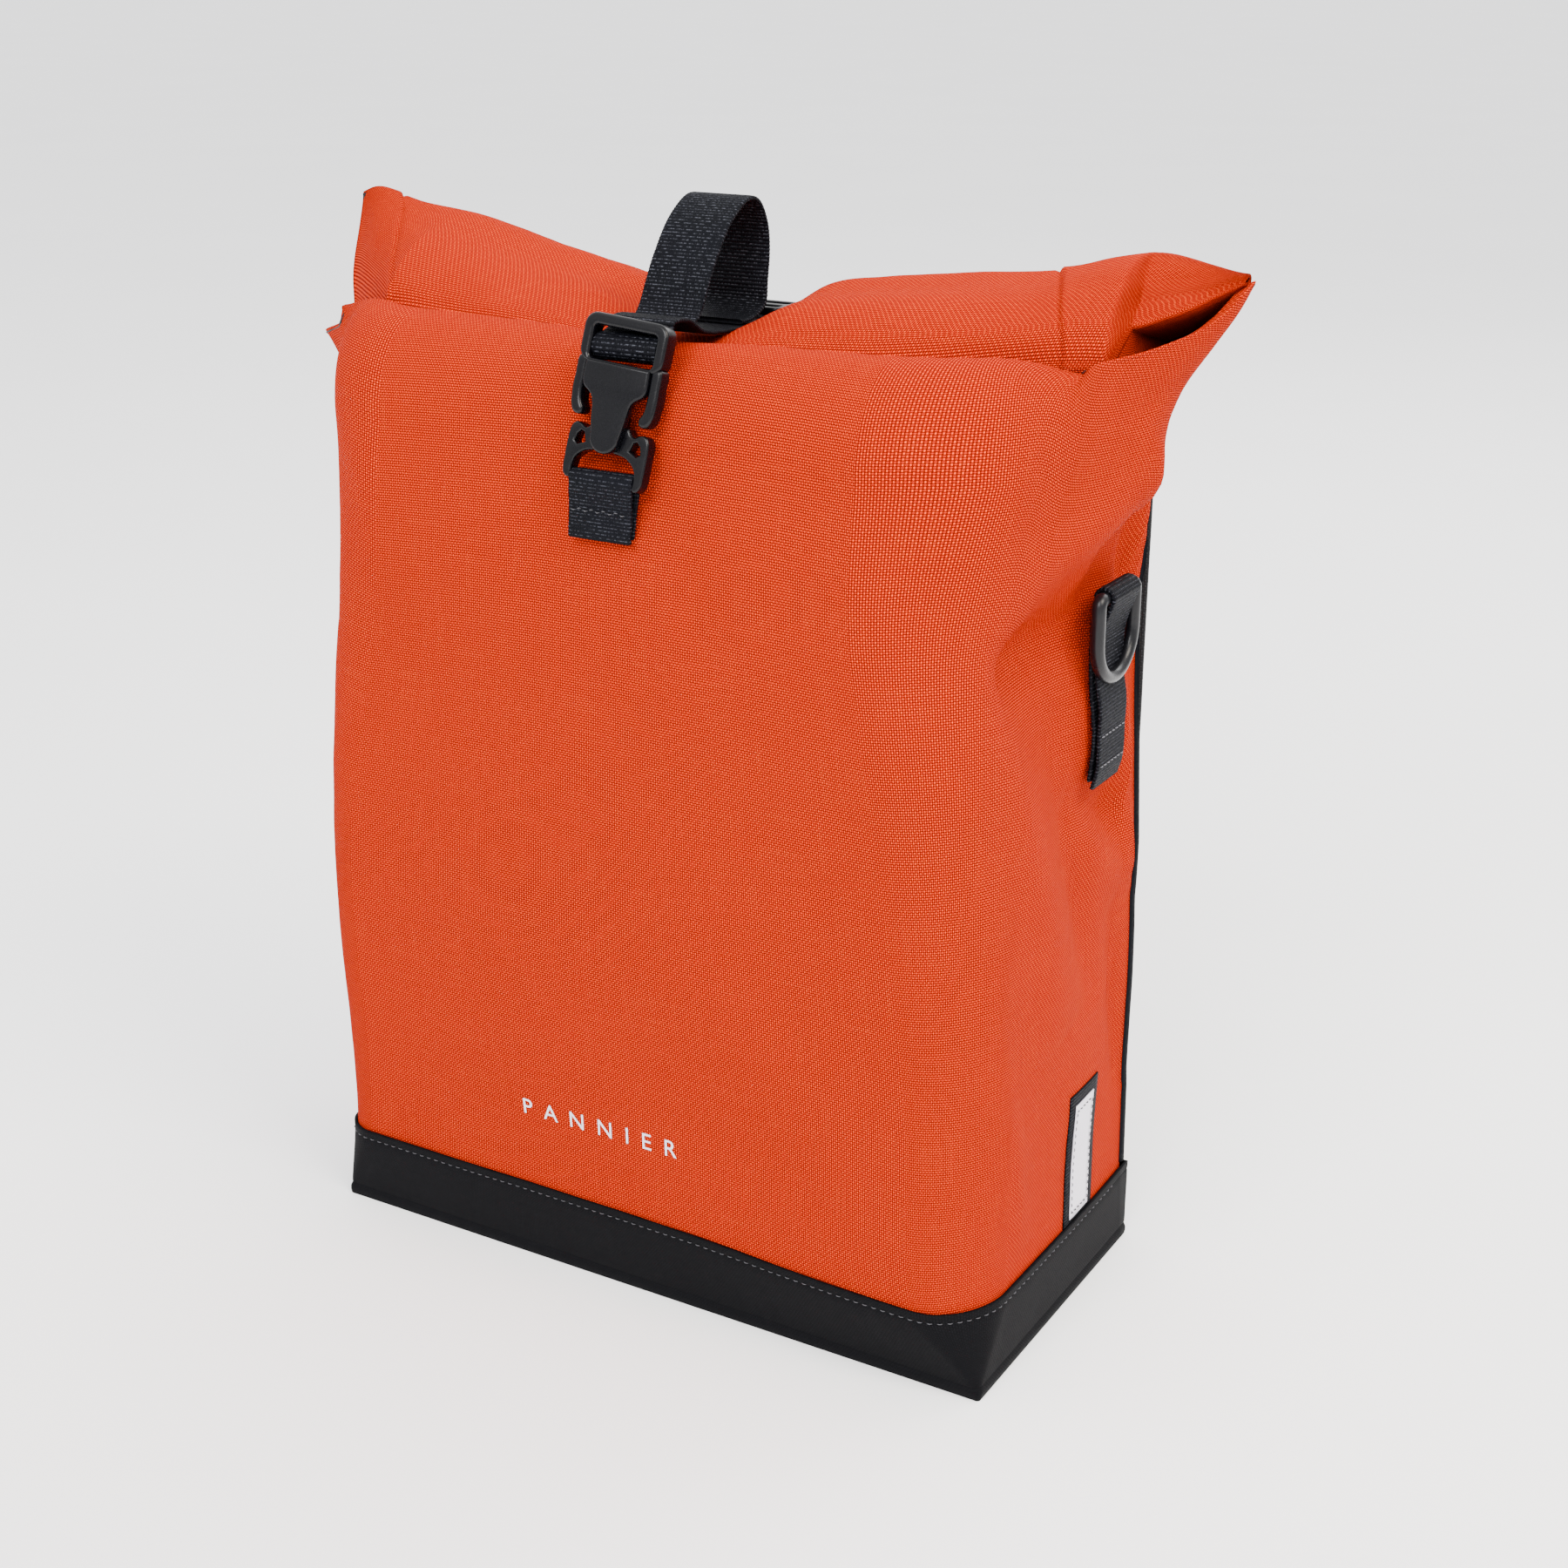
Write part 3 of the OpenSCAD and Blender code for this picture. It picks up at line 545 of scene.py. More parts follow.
ORANGE = (0.700, 0.0210, 0.0002)
# Each weave's light colour and gap factor set its painted crown highlight and its painted shade between
# threads.
orange_cloth = woven("shell_weave", ORANGE, 0.00074, 0.00088, (1.0, 0.105, 0.010), 0.15, 0.72, 0.00036,
                     crown_highlight=0.9, shine=0.02)
base_cloth = woven("base_weave", (0.0022, 0.0023, 0.0034), 0.00062, 0.00062, (0.016, 0.016, 0.020), 0.5, 0.66,
                   0.00007, crown_highlight=0.35, shine=0.06, patch=0.3)
back_cloth = woven("back_weave", (0.0075, 0.0075, 0.0095), 0.0011, 0.0010, (0.045, 0.045, 0.05), 0.45, 0.6,
                   0.00022, crown_highlight=0.45, shine=0.15, patch=0.2)
lining = woven("lining_weave", (0.010, 0.010, 0.011), 0.0006, 0.0006, (0.03, 0.03, 0.03), 0.6, 0.55, 0.00005,
               crown_highlight=0.2)
liner_cloth = woven("liner_weave", (0.30, 0.32, 0.33), 0.0006, 0.0006, (0.5, 0.5, 0.5), 0.7, 0.45, 0.00005,
                    crown_highlight=0.2)
web_black = webbing_look("webbing_black", (0.0014, 0.0016, 0.0028), (0.062, 0.065, 0.080))
plastic = moulded("buckle_acetal", (0.0013, 0.0013, 0.0021), 0.26, shine=0.18)
ring_plastic = moulded("ring_acetal", (0.0032, 0.0033, 0.0045), 0.30, shine=0.22)
nylon = moulded("glass_nylon", (0.006, 0.006, 0.0068), 0.5, shine=0.2, grain_scale=500.0, grain=0.00006)
lever_nylon = moulded("lever_nylon", (0.42, 0.055, 0.010), 0.42, grain_scale=500.0)
sheet_plastic = moulded("sheet_plastic", (0.016, 0.016, 0.017), 0.45, grain_scale=300.0)
rubber = moulded("rubber_liner", (0.030, 0.030, 0.032), 0.75, grain_scale=700.0, grain=0.00006)
aluminium = brushed("anodised_aluminium", (0.62, 0.63, 0.65), 0.32)
steel = brushed("stainless_steel", (0.55, 0.55, 0.55), 0.28, (20.0, 20.0, 20.0))
tape = retroreflective("reflective_tape", (0.74, 0.71, 0.80))
dark_thread = thread("dark_thread", (0.030, 0.030, 0.036))
grey_thread = thread("grey_thread", (0.10, 0.10, 0.115))

for node, material in {
    "base_board": sheet_plastic, "back_stiffener": sheet_plastic, "hem_stiffener": sheet_plastic,
    "upper_rail": aluminium, "lower_rail": aluminium, "rail_end_caps": nylon, "rail_screws": steel,
    "rail_nuts": steel, "anchor_carriage": nylon, "anchor_bolt": steel, "anchor_nut": steel,
    "anchor_hook": nylon,
    **{f"{part}_{side}": look for side in ("left", "right") for part, look in {
        "hook": nylon, "hook_liner": rubber, "hook_screws": steel, "t_nut": steel, "cam_pin": steel,
        "cam_spring": steel, "cam_lever": lever_nylon}.items()},
}.items():
    nodes[node].data.materials.clear()
    nodes[node].data.materials.append(material)


SIDES = ((-1, "left"), (1, "right"))


def declare(obj, body, node):
    """Attaches a visual piece to its body and hides the CAD node it stands for."""
    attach(obj, body)
    if node:
        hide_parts(node)


# ---------------------------------------------------------------- outline of the soft body
SIDE_N, CORNER_N, FRONT_N = 26, 18, 92
SHELL_T = 1.2
SLOPE_Z = LIP_Z - 35


def front_at(z):
    """How far the front stands forward of the middle at height z."""
    return table(z, [(0, 64.5), (30, 66.2), (100, 69.6), (200, 73.2), (270, 74.0), (300, 72.2), (322, 70.0)])


def right_x(z):
    return table(z, [(0, 141.8), (32, 140.4), (100, 139.6), (190, 137.6), (240, 135.6), (272, 135.0),
                     (322, 141.0)])


def left_x(z):
    return table(z, [(0, 141.8), (32, 142.6), (100, 142.4), (170, 141.8), (215, 139.4), (262, 137.4),
                     (322, 142.6)])


def right_r(z):
    return table(z, [(0, 16), (32, 23), (100, 26), (200, 34), (322, 50)])


def left_r(z):
    return table(z, [(0, 8), (32, 14), (150, 18), (230, 30), (322, 44)])


def wrap(left, right, front, r_left, r_right, rear):
    """Outline from rear left round the front to rear right, always with the same number of points."""
    s = np.linspace(0, 1, SIDE_N, endpoint=False)
    c = np.linspace(0, 1, CORNER_N, endpoint=False) * math.pi / 2
    f = np.linspace(0, 1, FRONT_N, endpoint=False)
    e = np.linspace(0, 1, SIDE_N + 1)
    x = np.concatenate([
        np.full(SIDE_N, -left), -left + r_left - r_left * np.cos(c),
        mix(r_left - left, right - r_right, f), right - r_right + r_right * np.sin(c),
        np.full(SIDE_N + 1, right)])
    y = np.concatenate([
        mix(rear, r_left - front, s), -front + r_left - r_left * np.sin(c),
        np.full(FRONT_N, -front), -front + r_right - r_right * np.cos(c), mix(r_right - front, rear, e)])
    return x, y


def wing_right(y, z):
    """How far the right wall flares towards the wing tip."""
    reach = table(z, [(240, 0), (275, 2), (300, 7), (330, 15.5), (344, 21.5), (358, 31), (370, 39),
                      (380, 44)])
    return reach * np.where(y < 20, bump(y, 20, 33), bump(y, 20, 25))


def wing_left(y, z):
    reach = table(z, [(255, 0), (290, 4), (315, 13), (330, 23), (340, 31)])
    return reach * np.where(y < -8, bump(y, -8, 17), bump(y, -8, 26))


def rim_z(x, y):
    """Height of the side walls' top edge."""
    right = table(y, [(-60, 352), (-30, 355), (-15, 357), (0, 361), (12, 369), (20, 380), (30, 370),
                      (45, 357), (60, 350)])
    left = table(y, [(-60, 352), (-40, 352), (-24, 345), (-9, 339.5), (8, 343), (30, 347), (60, 348)])
    return np.where(x > 0, right, left)


def sag(x, y, z):
    """Soft shape of the filled cloth: outward offset for the front (y) and the sides (x)."""
    front = 4.6 * smooth((x + 10) / 120) * bump(z, 30, 48) * smooth((150 - x) / 30)
    front += 1.6 * bump(x, 10, 90) * bump(z, 190, 90)
    front -= 1.4 * bump(x, -60, 55) * bump(z, 250, 50)
    front -= 2.2 * bump(x, 0, 34) * bump(z, 330, 30)
    side = np.where(
        x > 0,
        2.6 * bump(y, 12, 34) * bump(z, 110, 70) - 5.0 * bump(y, -22, 26) * bump(z, 262, 46)
        + 3.4 * bump(y, 28, 18) * bump(z, 226, 26) - 2.2 * bump(y, 38, 10) * bump(z, 190, 16),
        2.4 * bump(y, 8, 36) * bump(z, 120, 80) - 3.5 * bump(y, 4, 34) * bump(z, 270, 42)
        + 2.2 * bump(y, 30, 20) * bump(z, 215, 28))
    return front, side


def shell_points():
    """Grid of the orange shell from the base up the walls, over the front lip and up to the side rims."""
    rear = BACK_Y - 0.2
    rows = []
    for z in np.linspace(3.0, SLOPE_Z, 116):
        x, y = wrap(left_x(z), right_x(z), front_at(z), left_r(z), right_r(z), rear)
        rows.append(np.stack([x, y, np.full(len(x), z)], axis=1))
    x, y = wrap(left_x(SLOPE_Z), right_x(SLOPE_Z), front_at(SLOPE_Z), left_r(SLOPE_Z), right_r(SLOPE_Z), rear)
    front_share = np.where(x > 0, smooth((-y - 16) / 46), smooth((-y - 26) / 36))
    for t in np.linspace(0, 1, 34)[1:]:
        a = math.radians(t * 165)
        lip_y = y + 27 * (1 - math.cos(a)) * np.where(a < 1.6, 1, 0.94)
        lip_top = LIP_Z + 1.0 * bump(x, -120, 60) - 2.2 * bump(x, 0, 30) + 1.4 * smooth((x - 60) / 70)
        lip_z = SLOPE_Z + (lip_top - SLOPE_Z) * math.sin(min(a, math.pi / 2))
        lip_z = lip_z - 11 * smooth((t * 165 - 90) / 75)
        up = min(1.0, t / 0.8)
        rim = mix(SLOPE_Z, rim_z(x, y), up)
        inward = 3.0 * smooth((t - 0.8) / 0.2)
        side_z = rim - 2.5 * smooth((t - 0.85) / 0.15)
        z = mix(side_z, lip_z, front_share)
        row_y = mix(y, lip_y, front_share)
        rows.append(np.stack([x - np.sign(x) * inward * (1 - front_share), row_y, z], axis=1))
    p = np.stack(rows)
    px, py, pz = p[..., 0].copy(), p[..., 1].copy(), p[..., 2].copy()
    on_side = np.clip((np.abs(px) - 118) / 22, 0, 1)
    flare = np.where(px > 0, wing_right(py, pz), -wing_left(py, pz))
    p[..., 0] += flare * smooth(on_side)
    front, side = sag(px, py, pz)
    facing = smooth((-py - 30) / 30)
    low = smooth((pz - 2) / 26)
    p[..., 1] -= front * facing * low * smooth((372 - pz) / 30)
    p[..., 0] += np.sign(px) * side * (1 - facing) * low * smooth((60.5 - py) / 12)
    # the wing pulls the upper front corner back and outwards
    pull = smooth((pz - 250) / 90) * smooth((px - 95) / 50) * facing
    p[..., 0] += 7 * pull
    p[..., 1] += 5 * pull
    return p


def dimple(p, n, a, b, width, depth):
    """Adds a soft ridge (or a crease, with a negative depth) along the segment from a to b."""
    a, b = np.array(a, float), np.array(b, float)
    d = b - a
    t = clamp01(((p - a) @ d) / (d @ d))
    near = np.linalg.norm(p - (a + t[..., None] * d), axis=-1)
    along = np.sin(np.pi * clamp01(t * 0.9 + 0.05)) ** 0.7
    p += n * (depth * np.exp(-(near / width) ** 2) * along)[..., None]


shell = shell_points()
normal = grid_normals(shell)
calm = smooth((shell[..., 2] - 20) / 40) * smooth((352 - shell[..., 2]) / 30)
shell += normal * (0.9 * wander(shell, 85.0, 2, 3.1) * calm)[..., None]
shell += normal * (0.35 * wander(shell, 26.0, 2, 7.7) * calm)[..., None]
facing_front = smooth((-shell[..., 1] - 34) / 22) * smooth((150 - np.abs(shell[..., 0])) / 10)


def wall_crease(wall, start, end, width, depth):
    """A soft ridge, or a crease with a negative depth. Points are (x, z) on the front, (y, z) on a side."""
    flat = shell[..., (0, 2)] if wall == "front" else shell[..., (1, 2)]
    way = 1 if wall == "right" else -1
    part = facing_front if wall == "front" else (1 - facing_front) * (shell[..., 0] * way > 60)
    a, b = np.array(start, float), np.array(end, float)
    d = b - a
    t = ((flat - a) @ d) / (d @ d)
    near = np.linalg.norm(flat - (a + clamp01(t)[..., None] * d), axis=-1)
    along = np.clip(np.sin(np.pi * clamp01(t * 0.92 + 0.04)), 0, 1) ** 0.6
    shell[...] += normal * (depth * np.exp(-(near / width) ** 2) * along * part)[..., None]


# Folds of each wall: start, end, width and depth. The right has a diagonal swell from the wing, a hollow
# below it, then drapes to the base. The front is pulled gently towards the buckle and the wing.
WALL_FOLDS = {
    "right": [
        ((30, 318), (-46, 276), 13, 6.4), ((14, 262), (-58, 258), 10, -7.5), ((26, 300), (14, 262), 9, -3.5),
        ((44, 312), (57, 266), 5, 3.6), ((35, 306), (46, 266), 5.5, -3.8), ((6, 336), (34, 296), 6, 2.9),
        ((2, 204), (52, 182), 8, -3.6), ((2, 186), (52, 158), 10, 3.0), ((44, 236), (54, 150), 5, 3.5),
        ((-44, 236), (-4, 120), 15, 4.3), ((-10, 230), (20, 120), 9, -3.2), ((40, 150), (54, 70), 7, -3.2),
        ((-52, 120), (-30, 44), 9, 2.3),
    ],
    "front": [
        ((118, 330), (134, 215), 10, 1.5), ((92, 322), (128, 262), 12, -1.4),
        ((-16, 318), (-40, 262), 9, -0.9), ((16, 318), (44, 250), 9, -0.9),
        ((-128, 318), (-104, 236), 11, -1.5), ((-132, 240), (-120, 150), 12, 1.1),
        ((0, 150), (112, 60), 22, 1.3), ((-112, 74), (-30, 46), 12, -0.8),
    ],
    "left": [
        ((-20, 322), (10, 250), 8, -2.4), ((14, 318), (30, 236), 8, 2.2), ((40, 300), (48, 210), 6, -1.6),
        ((8, 212), (54, 190), 6, -1.8), ((-30, 170), (16, 84), 14, 1.6),
    ],
}
for wall, folds in WALL_FOLDS.items():
    for start, end, width, depth in folds:
        wall_crease(wall, start, end, width, depth)
shell_cloth = cloth_grid("shell_cloth", shell, orange_cloth, SHELL_T, inner=lining)
declare(shell_cloth, "bag", "front_shell")

# ---------------------------------------------------------------- base band, base and back


def outline_at(z):
    """Outline of the shell at height z, near the base."""
    heights = shell[:, :, 2].mean(axis=1)
    i = int(np.clip(np.searchsorted(heights, z), 1, 60))
    t = (z - heights[i - 1]) / (heights[i] - heights[i - 1])
    return mix(shell[i - 1], shell[i], t)[:, :2]


def band_points(outward):
    """Grid of the base band: sharp corners at the floor, following the shell at the top."""
    top = outline_at(BAND_H)
    bx, by = wrap(HALF_W - 0.4, HALF_W - 0.4, HALF_D, 1.2, 1.2, HALF_D - 0.5)
    bottom = np.stack([bx, by], axis=1)
    d = np.gradient(top, axis=0)
    out = np.stack([d[:, 1], -d[:, 0]], axis=1)
    out /= np.linalg.norm(out, axis=1, keepdims=True)
    top = top + out * 1.5
    top[:, 1] = np.where(top[:, 1] > BACK_Y - 1, HALF_D - 0.5, top[:, 1])
    rear_n = 90
    rear = np.linspace(1, -1, rear_n + 1)[1:-1]
    bottom = np.vstack([bottom, np.stack([rear * (HALF_W - 0.4), np.full(rear_n - 1, HALF_D - 0.5)], axis=1)])
    top = np.vstack([top, np.stack([rear * 142.0, np.full(rear_n - 1, HALF_D - 0.5)], axis=1)])
    rows = []
    for z in [0.15, 0.6, 1.6, 3.0, 4.6, 5.0, 5.6, 8, 11, 14, 17, 20, 23, 26, 28.4, 29.0, 29.6, 31,
              BAND_H - 0.4, BAND_H + 0.4]:
        t = smooth(z / BAND_H * 0.92 + 0.04) if z > 1 else 0.0
        lift = outward + 0.5 * bump(z, 2.4, 1.6) - 0.35 * bump(z, 5.0, 0.5) - 0.3 * bump(z, 29.0, 0.5)
        xy = mix(bottom, top, t)
        d = np.roll(xy, -1, axis=0) - np.roll(xy, 1, axis=0)
        out = np.stack([d[:, 1], -d[:, 0]], axis=1)
        out /= np.maximum(np.linalg.norm(out, axis=1, keepdims=True), 1e-9)
        xy = xy + out * lift
        rows.append(np.column_stack([xy, np.full(len(xy), z)]))
    return np.stack(rows)


band = band_points(0.0)
band_n = grid_normals(band, ring=True)
band += band_n * (0.35 * wander(band, 40.0, 2, 1.3) * smooth(band[..., 2] / 10))[..., None]
band_cloth = cloth_grid("band_cloth", band, base_cloth, 1.2, ring=True)
declare(band_cloth, "bag", "base_band")


def wall_x(side, y, z):
    """Outer face of a side wall of the shell at (y, z)."""
    cols = shell[4:116, -SIDE_N - 1:] if side > 0 else shell[4:116, SIDE_N::-1]
    out = []
    for yy, zz in np.broadcast(y, z):
        level = cols[:, :, 2].mean(axis=1)
        i = int(np.clip(np.searchsorted(level, zz), 1, len(level) - 1))
        row = mix(cols[i - 1], cols[i], (zz - level[i - 1]) / (level[i] - level[i - 1]))
        out.append(np.interp(yy, row[:, 1], row[:, 0]))
    return np.array(out).reshape(np.broadcast(y, z).shape)


def front_y(x, z):
    """Outer face of the front of the shell at (x, z)."""
    cols = shell[4:116, SIDE_N + CORNER_N:SIDE_N + CORNER_N + FRONT_N]
    out = []
    for xx, zz in np.broadcast(x, z):
        level = cols[:, :, 2].mean(axis=1)
        i = int(np.clip(np.searchsorted(level, zz), 1, len(level) - 1))
        row = mix(cols[i - 1], cols[i], (zz - level[i - 1]) / (level[i] - level[i - 1]))
        out.append(np.interp(xx, row[:, 0], row[:, 1]))
    return np.array(out).reshape(np.broadcast(x, z).shape)


# underside, back and lining
gx, gy = np.meshgrid(np.linspace(-139.6, 139.6, 70), np.linspace(-62.9, 62.9, 34))
base = np.stack([gx, gy, np.full(gx.shape, 1.7)], axis=2)
base[..., 2] += 0.25 * wander(base, 30.0, 2, 5.0)
base_sheet = cloth_grid("base_sheet", base, base_cloth, 1.1)
declare(base_sheet, "bag", "base_panel")

gx, gz = np.meshgrid(np.linspace(-1, 1, 90), np.linspace(panel_lo[2], PANEL_TOP, 108))
end_r = 10.0
fall = np.clip(np.maximum(gz - (PANEL_TOP - end_r), (panel_lo[2] + end_r) - gz), 0, end_r)
gx = gx * (panel_hi[0] - end_r + np.sqrt(np.maximum(end_r ** 2 - fall ** 2, 0)))
back = np.stack([gx, np.full(gx.shape, panel_hi[1] - 0.5), gz], axis=2)[:, ::-1]
back[..., 1] += 0.35 * wander(back, 45.0, 2, 9.0)
back_sheet = cloth_grid("back_sheet", back, back_cloth, 1.6)
declare(back_sheet, "bag", "back_panel")

inset = 6.2
lined = (shell - normal * inset)[4:112:4, ::3]
rear_x = np.linspace(1, -1, 22)[1:-1]
rear_rows = [np.stack([rear_x * row[-1, 0], np.full(20, BACK_Y - 5.0), np.full(20, row[-1, 2])], axis=1)
             for row in lined]
lined = np.concatenate([lined, np.stack(rear_rows)], axis=1)
lined[..., 1] = np.minimum(lined[..., 1], BACK_Y - 5.0)
liner_sheet = cloth_grid("liner_sheet", lined, liner_cloth, 0.5, ring=True)
declare(liner_sheet, "bag", "liner")

for side, name in SIDES:
    line = [(wall_x(side, 59.5, z) - side * 0.9, BACK_Y + 1.4, z) for z in np.linspace(34, 281, 52)]
    binding = tube("back_binding_" + name, spline(line, 4.0), 1.9, web_black, sides=14, squash=(1.0, 1.35))
    declare(binding, "bag", None)

# ---------------------------------------------------------------- rolled collar
ROLL_N = 12


def ridge_z(x):
    return table(x, [(-184, 388), (-176, 390), (-150, 386.5), (-118, 381), (-84, 373.2), (-51, 365.4),
                     (-30, 359), (-12, 353.6), (4, 354.4), (18, 361.5), (30, 367.6), (52, 371.6),
                     (79, 375.4), (124, 380.5), (139, 384.4), (150, 386.2), (166, 386.0), (176, 384.4),
                     (182.5, 382)])


def roll_section(x):
    """Section of the collar at x: control points round it from the front foot over the ridge and back."""
    zr = float(ridge_z(x))
    dip = float(bump(x, 0, 26))
    body = np.array([
        (-31, 342), (-32.5, 348), (-26, mix(350, zr, 0.36)), (-10, mix(352, zr, 0.72)), (8, zr - 2.6),
        (22, zr), (36, zr - 3.5), (49, mix(350, zr, 0.58)), (56, mix(347, zr, 0.22)), (56, 343), (30, 338),
        (-10, 337)])
    body[2:8, 1] -= 1.5 * dip
    flap = np.array([
        (4, 364.5), (4.5, 367.5), (8.0, 372), (12, 377), (17, zr - 1.6), (22, zr), (33, zr - 3), (43, zr - 8),
        (49, mix(352, zr, 0.5)), (48, 356), (34, 357), (14, 361.5)])
    tip = np.array([(20 + 2.2 * math.cos(a), 380.4 + 1.7 * math.sin(a))
                    for a in np.radians(np.linspace(215, -115, ROLL_N))])
    back_off = float(smooth((x - 66) / 84))
    body[:4, 0] += np.array([21, 21, 17, 8]) * back_off
    body[11, 0] += 12 * back_off
    body[:3, 1] += np.array([9, 8, 4]) * back_off
    if x > 147.5:
        body = mix(body, flap, float(smooth((x - 147.5) / 3.4)))
        body = mix(body, tip, float(clamp01((x - 152) / 31.0) ** 1.2))
    if x < -128:
        shut = float(clamp01((-x - 128) / 54.0) ** 0.85)
        body[:, 0] = mix(body[:, 0], 20 + (body[:, 0] - 20) * 0.03, shut)
    return body


def closed_spline(ctrl, n):
    k = len(ctrl)
    out = []
    for i in range(k):
        a, b, c, d = ctrl[i - 1], ctrl[i], ctrl[(i + 1) % k], ctrl[(i + 2) % k]
        for t in np.linspace(0, 1, n, endpoint=False):
            out.append(0.5 * (2 * b + (c - a) * t + (2 * a - 5 * b + 4 * c - d) * t ** 2
                              + (3 * b - a - 3 * c + d) * t ** 3))
    return np.array(out)


roll_xs = np.concatenate([np.linspace(-183, -164, 14)[:-1], np.linspace(-164, -126, 48)[:-1],
                          np.linspace(-126, 108, 110)[:-1], np.linspace(108, 146.5, 50)[:-1],
                          np.linspace(146.5, 152, 14)[:-1], np.linspace(152, 182.5, 26)])
roll = np.stack([np.column_stack([np.full(ROLL_N * 7, x), closed_spline(roll_section(x), 7)])
                 for x in roll_xs])
roll = roll[:, ::-1]
roll[..., 0] += 7.0 * clamp01((-roll[..., 0] - 158) / 25) * smooth((roll[..., 2] - 352) / 38)
roll_n = grid_normals(roll, ring=True)
if roll_n[60, roll.shape[1] // 2, 2] * (roll[60, roll.shape[1] // 2, 2] - 350) < 0:
    roll_n = -roll_n
ends = smooth((roll[..., 0] + 183) / 16) * smooth((184 - roll[..., 0]) / 16)
roll += roll_n * ((0.9 * wander(roll, 60.0, 2, 11.0) + 0.4 * wander(roll, 22.0, 2, 4.0)) * ends)[..., None]
ROLL_CREASES = [
    ((-70, 4, 368), (-22, -22, 351), 7, 1.5), ((-140, -26, 362), (-120, -34, 350), 5, -1.6),
    ((40, -10, 365), (110, -12, 370), 12, 1.2), ((20, -22, 356), (66, -30, 356), 7, -0.9),
    ((154, 12, 377), (174, 17, 381), 3.6, -1.6), ((152, 8, 370), (168, 12, 374), 3.0, 1.3),
    ((100, -8, 362), (140, 0, 366), 6, -1.2), ((84, -22, 356), (132, -12, 360), 5, 1.0),
    ((-172, 2, 370), (-150, -20, 350), 8, -1.4), ((-110, -10, 372), (-70, -26, 356), 10, 0.9),
]
for start, end, width, depth in ROLL_CREASES:
    dimple(roll, roll_n, start, end, width, depth)
# side seams: the end of the collar is sewn on under a folded edge that stands slightly proud
for seam_x, lean, way, height in ((-159.0, 0.66, -1, 0.5), (117.5, 0.48, 1, 0.9)):
    line_x = seam_x + lean * (22 - roll[..., 1]) + 0.7 * np.sin(roll[..., 2] / 4.0)
    off = (roll[..., 0] - line_x) * way
    step = height * smooth((off + 0.4) / 0.9) * np.exp(-np.clip(off, 0, None) / 9.0)
    step = step - 0.8 * bump(off, -0.9, 0.8)
    roll += roll_n * (step * (roll[..., 1] < 50))[..., None]
roll_cloth = cloth_grid("roll_cloth", roll, orange_cloth, SHELL_T, inner=lining, ring=True)
declare(roll_cloth, "roll", "roll_top")

# cloth that joins the top of the back panel to the roll
gx, gt = np.meshgrid(np.linspace(-141.6, 139.8, 90), np.linspace(0, 1, 18))
joining = np.stack([gx, table(gt, [(0, 59.9), (0.35, 59.9), (0.6, 59.5), (0.8, 57.9), (1, 55.6)]),
                    table(gt, [(0, 317), (0.35, 329), (0.6, 337.5), (0.8, 343.6), (1, 348.4)])], axis=2)
joining[..., 1] += 0.25 * wander(joining, 24.0, 2, 6.0) - 0.2
collar_back = cloth_grid("collar_back", joining, orange_cloth, 1.0, inner=lining)
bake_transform(collar_back)

# a sheet of the dark lining cloth inside the right end of the roll, standing in for its gusset folds: painted
# shade where that cloth lies in shadow
gx, gt = np.meshgrid(np.linspace(118, 173, 30), np.linspace(0, 1, 14))
low_z = table(gx, [(110, 343), (150, 347), (165, 357), (180, 378)])
high_z = np.array([ridge_z(v) for v in gx.ravel()]).reshape(gx.shape)
high_z = high_z - table(gx, [(110, 10), (150, 9), (180, 8)])
gusset = np.stack([gx, mix(24.0, 40.0, 1 - gt) * table(gx, [(110, 1.1), (160, 0.9), (180, 0.55)]),
                   mix(low_z, high_z, gt)], axis=2)
gusset_shade_sheet = cloth_grid("gusset_shade_right", gusset, lining, 0.8)
declare(gusset_shade_sheet, "roll", None)
end_strip = ribbon("collar_tape_left", [(-176, 17, 343.5), (-181, 19, 344.2), (-183.6, 22, 344.6)],
                   (0, 0, 1), 7.0, 1.0,
                   web_black)
declare(end_strip, "roll", None)

# ---------------------------------------------------------------- buckle frame
TILT = math.radians(15.5)
LEAN = math.radians(5.0)
BUCKLE_SCALE = 0.94
BAR_R = 1.5
BUCKLE = np.array([1.2, -75.2, 311.6])
RISE = np.array([0.0, math.sin(TILT), math.cos(TILT)])
OUT = np.array([0.0, -math.cos(TILT), math.sin(TILT)])
ACROSS = np.array([math.cos(LEAN), 0.0, 0.0]) - RISE * math.sin(LEAN)
UP = RISE * math.cos(LEAN) + np.array([math.sin(LEAN), 0.0, 0.0])


def on_buckle(up, out, x=0.0):
    return tuple(BUCKLE + (ACROSS * x + UP * up) * BUCKLE_SCALE + OUT * out)


def place_on_buckle(obj, out=0.0):
    origin = (BUCKLE + OUT * out) * MM
    across, rise = ACROSS * BUCKLE_SCALE, UP * BUCKLE_SCALE
    turn = Matrix([(across[k], rise[k], OUT[k], origin[k]) for k in range(3)] + [(0, 0, 0, 1)])
    obj.data.transform(turn)
    return obj


def rounded(w, h, r, cx=0.0, cy=0.0, n=7):
    """Outline of a rounded rectangle."""
    out = []
    for k, (sx, sy) in enumerate(((1, 1), (-1, 1), (-1, -1), (1, -1))):
        for a in np.linspace(0, 90, n):
            b = math.radians(a + 90 * k)
            out.append((cx + sx * (w / 2 - r) + r * math.cos(b), cy + sy * (h / 2 - r) + r * math.sin(b)))
    return out


def mirrored(right):
    return list(right) + [(-x, y) for x, y in reversed(right)]


def soft(points, step=0.9):
    return [tuple(p) for p in spline(points, step)]


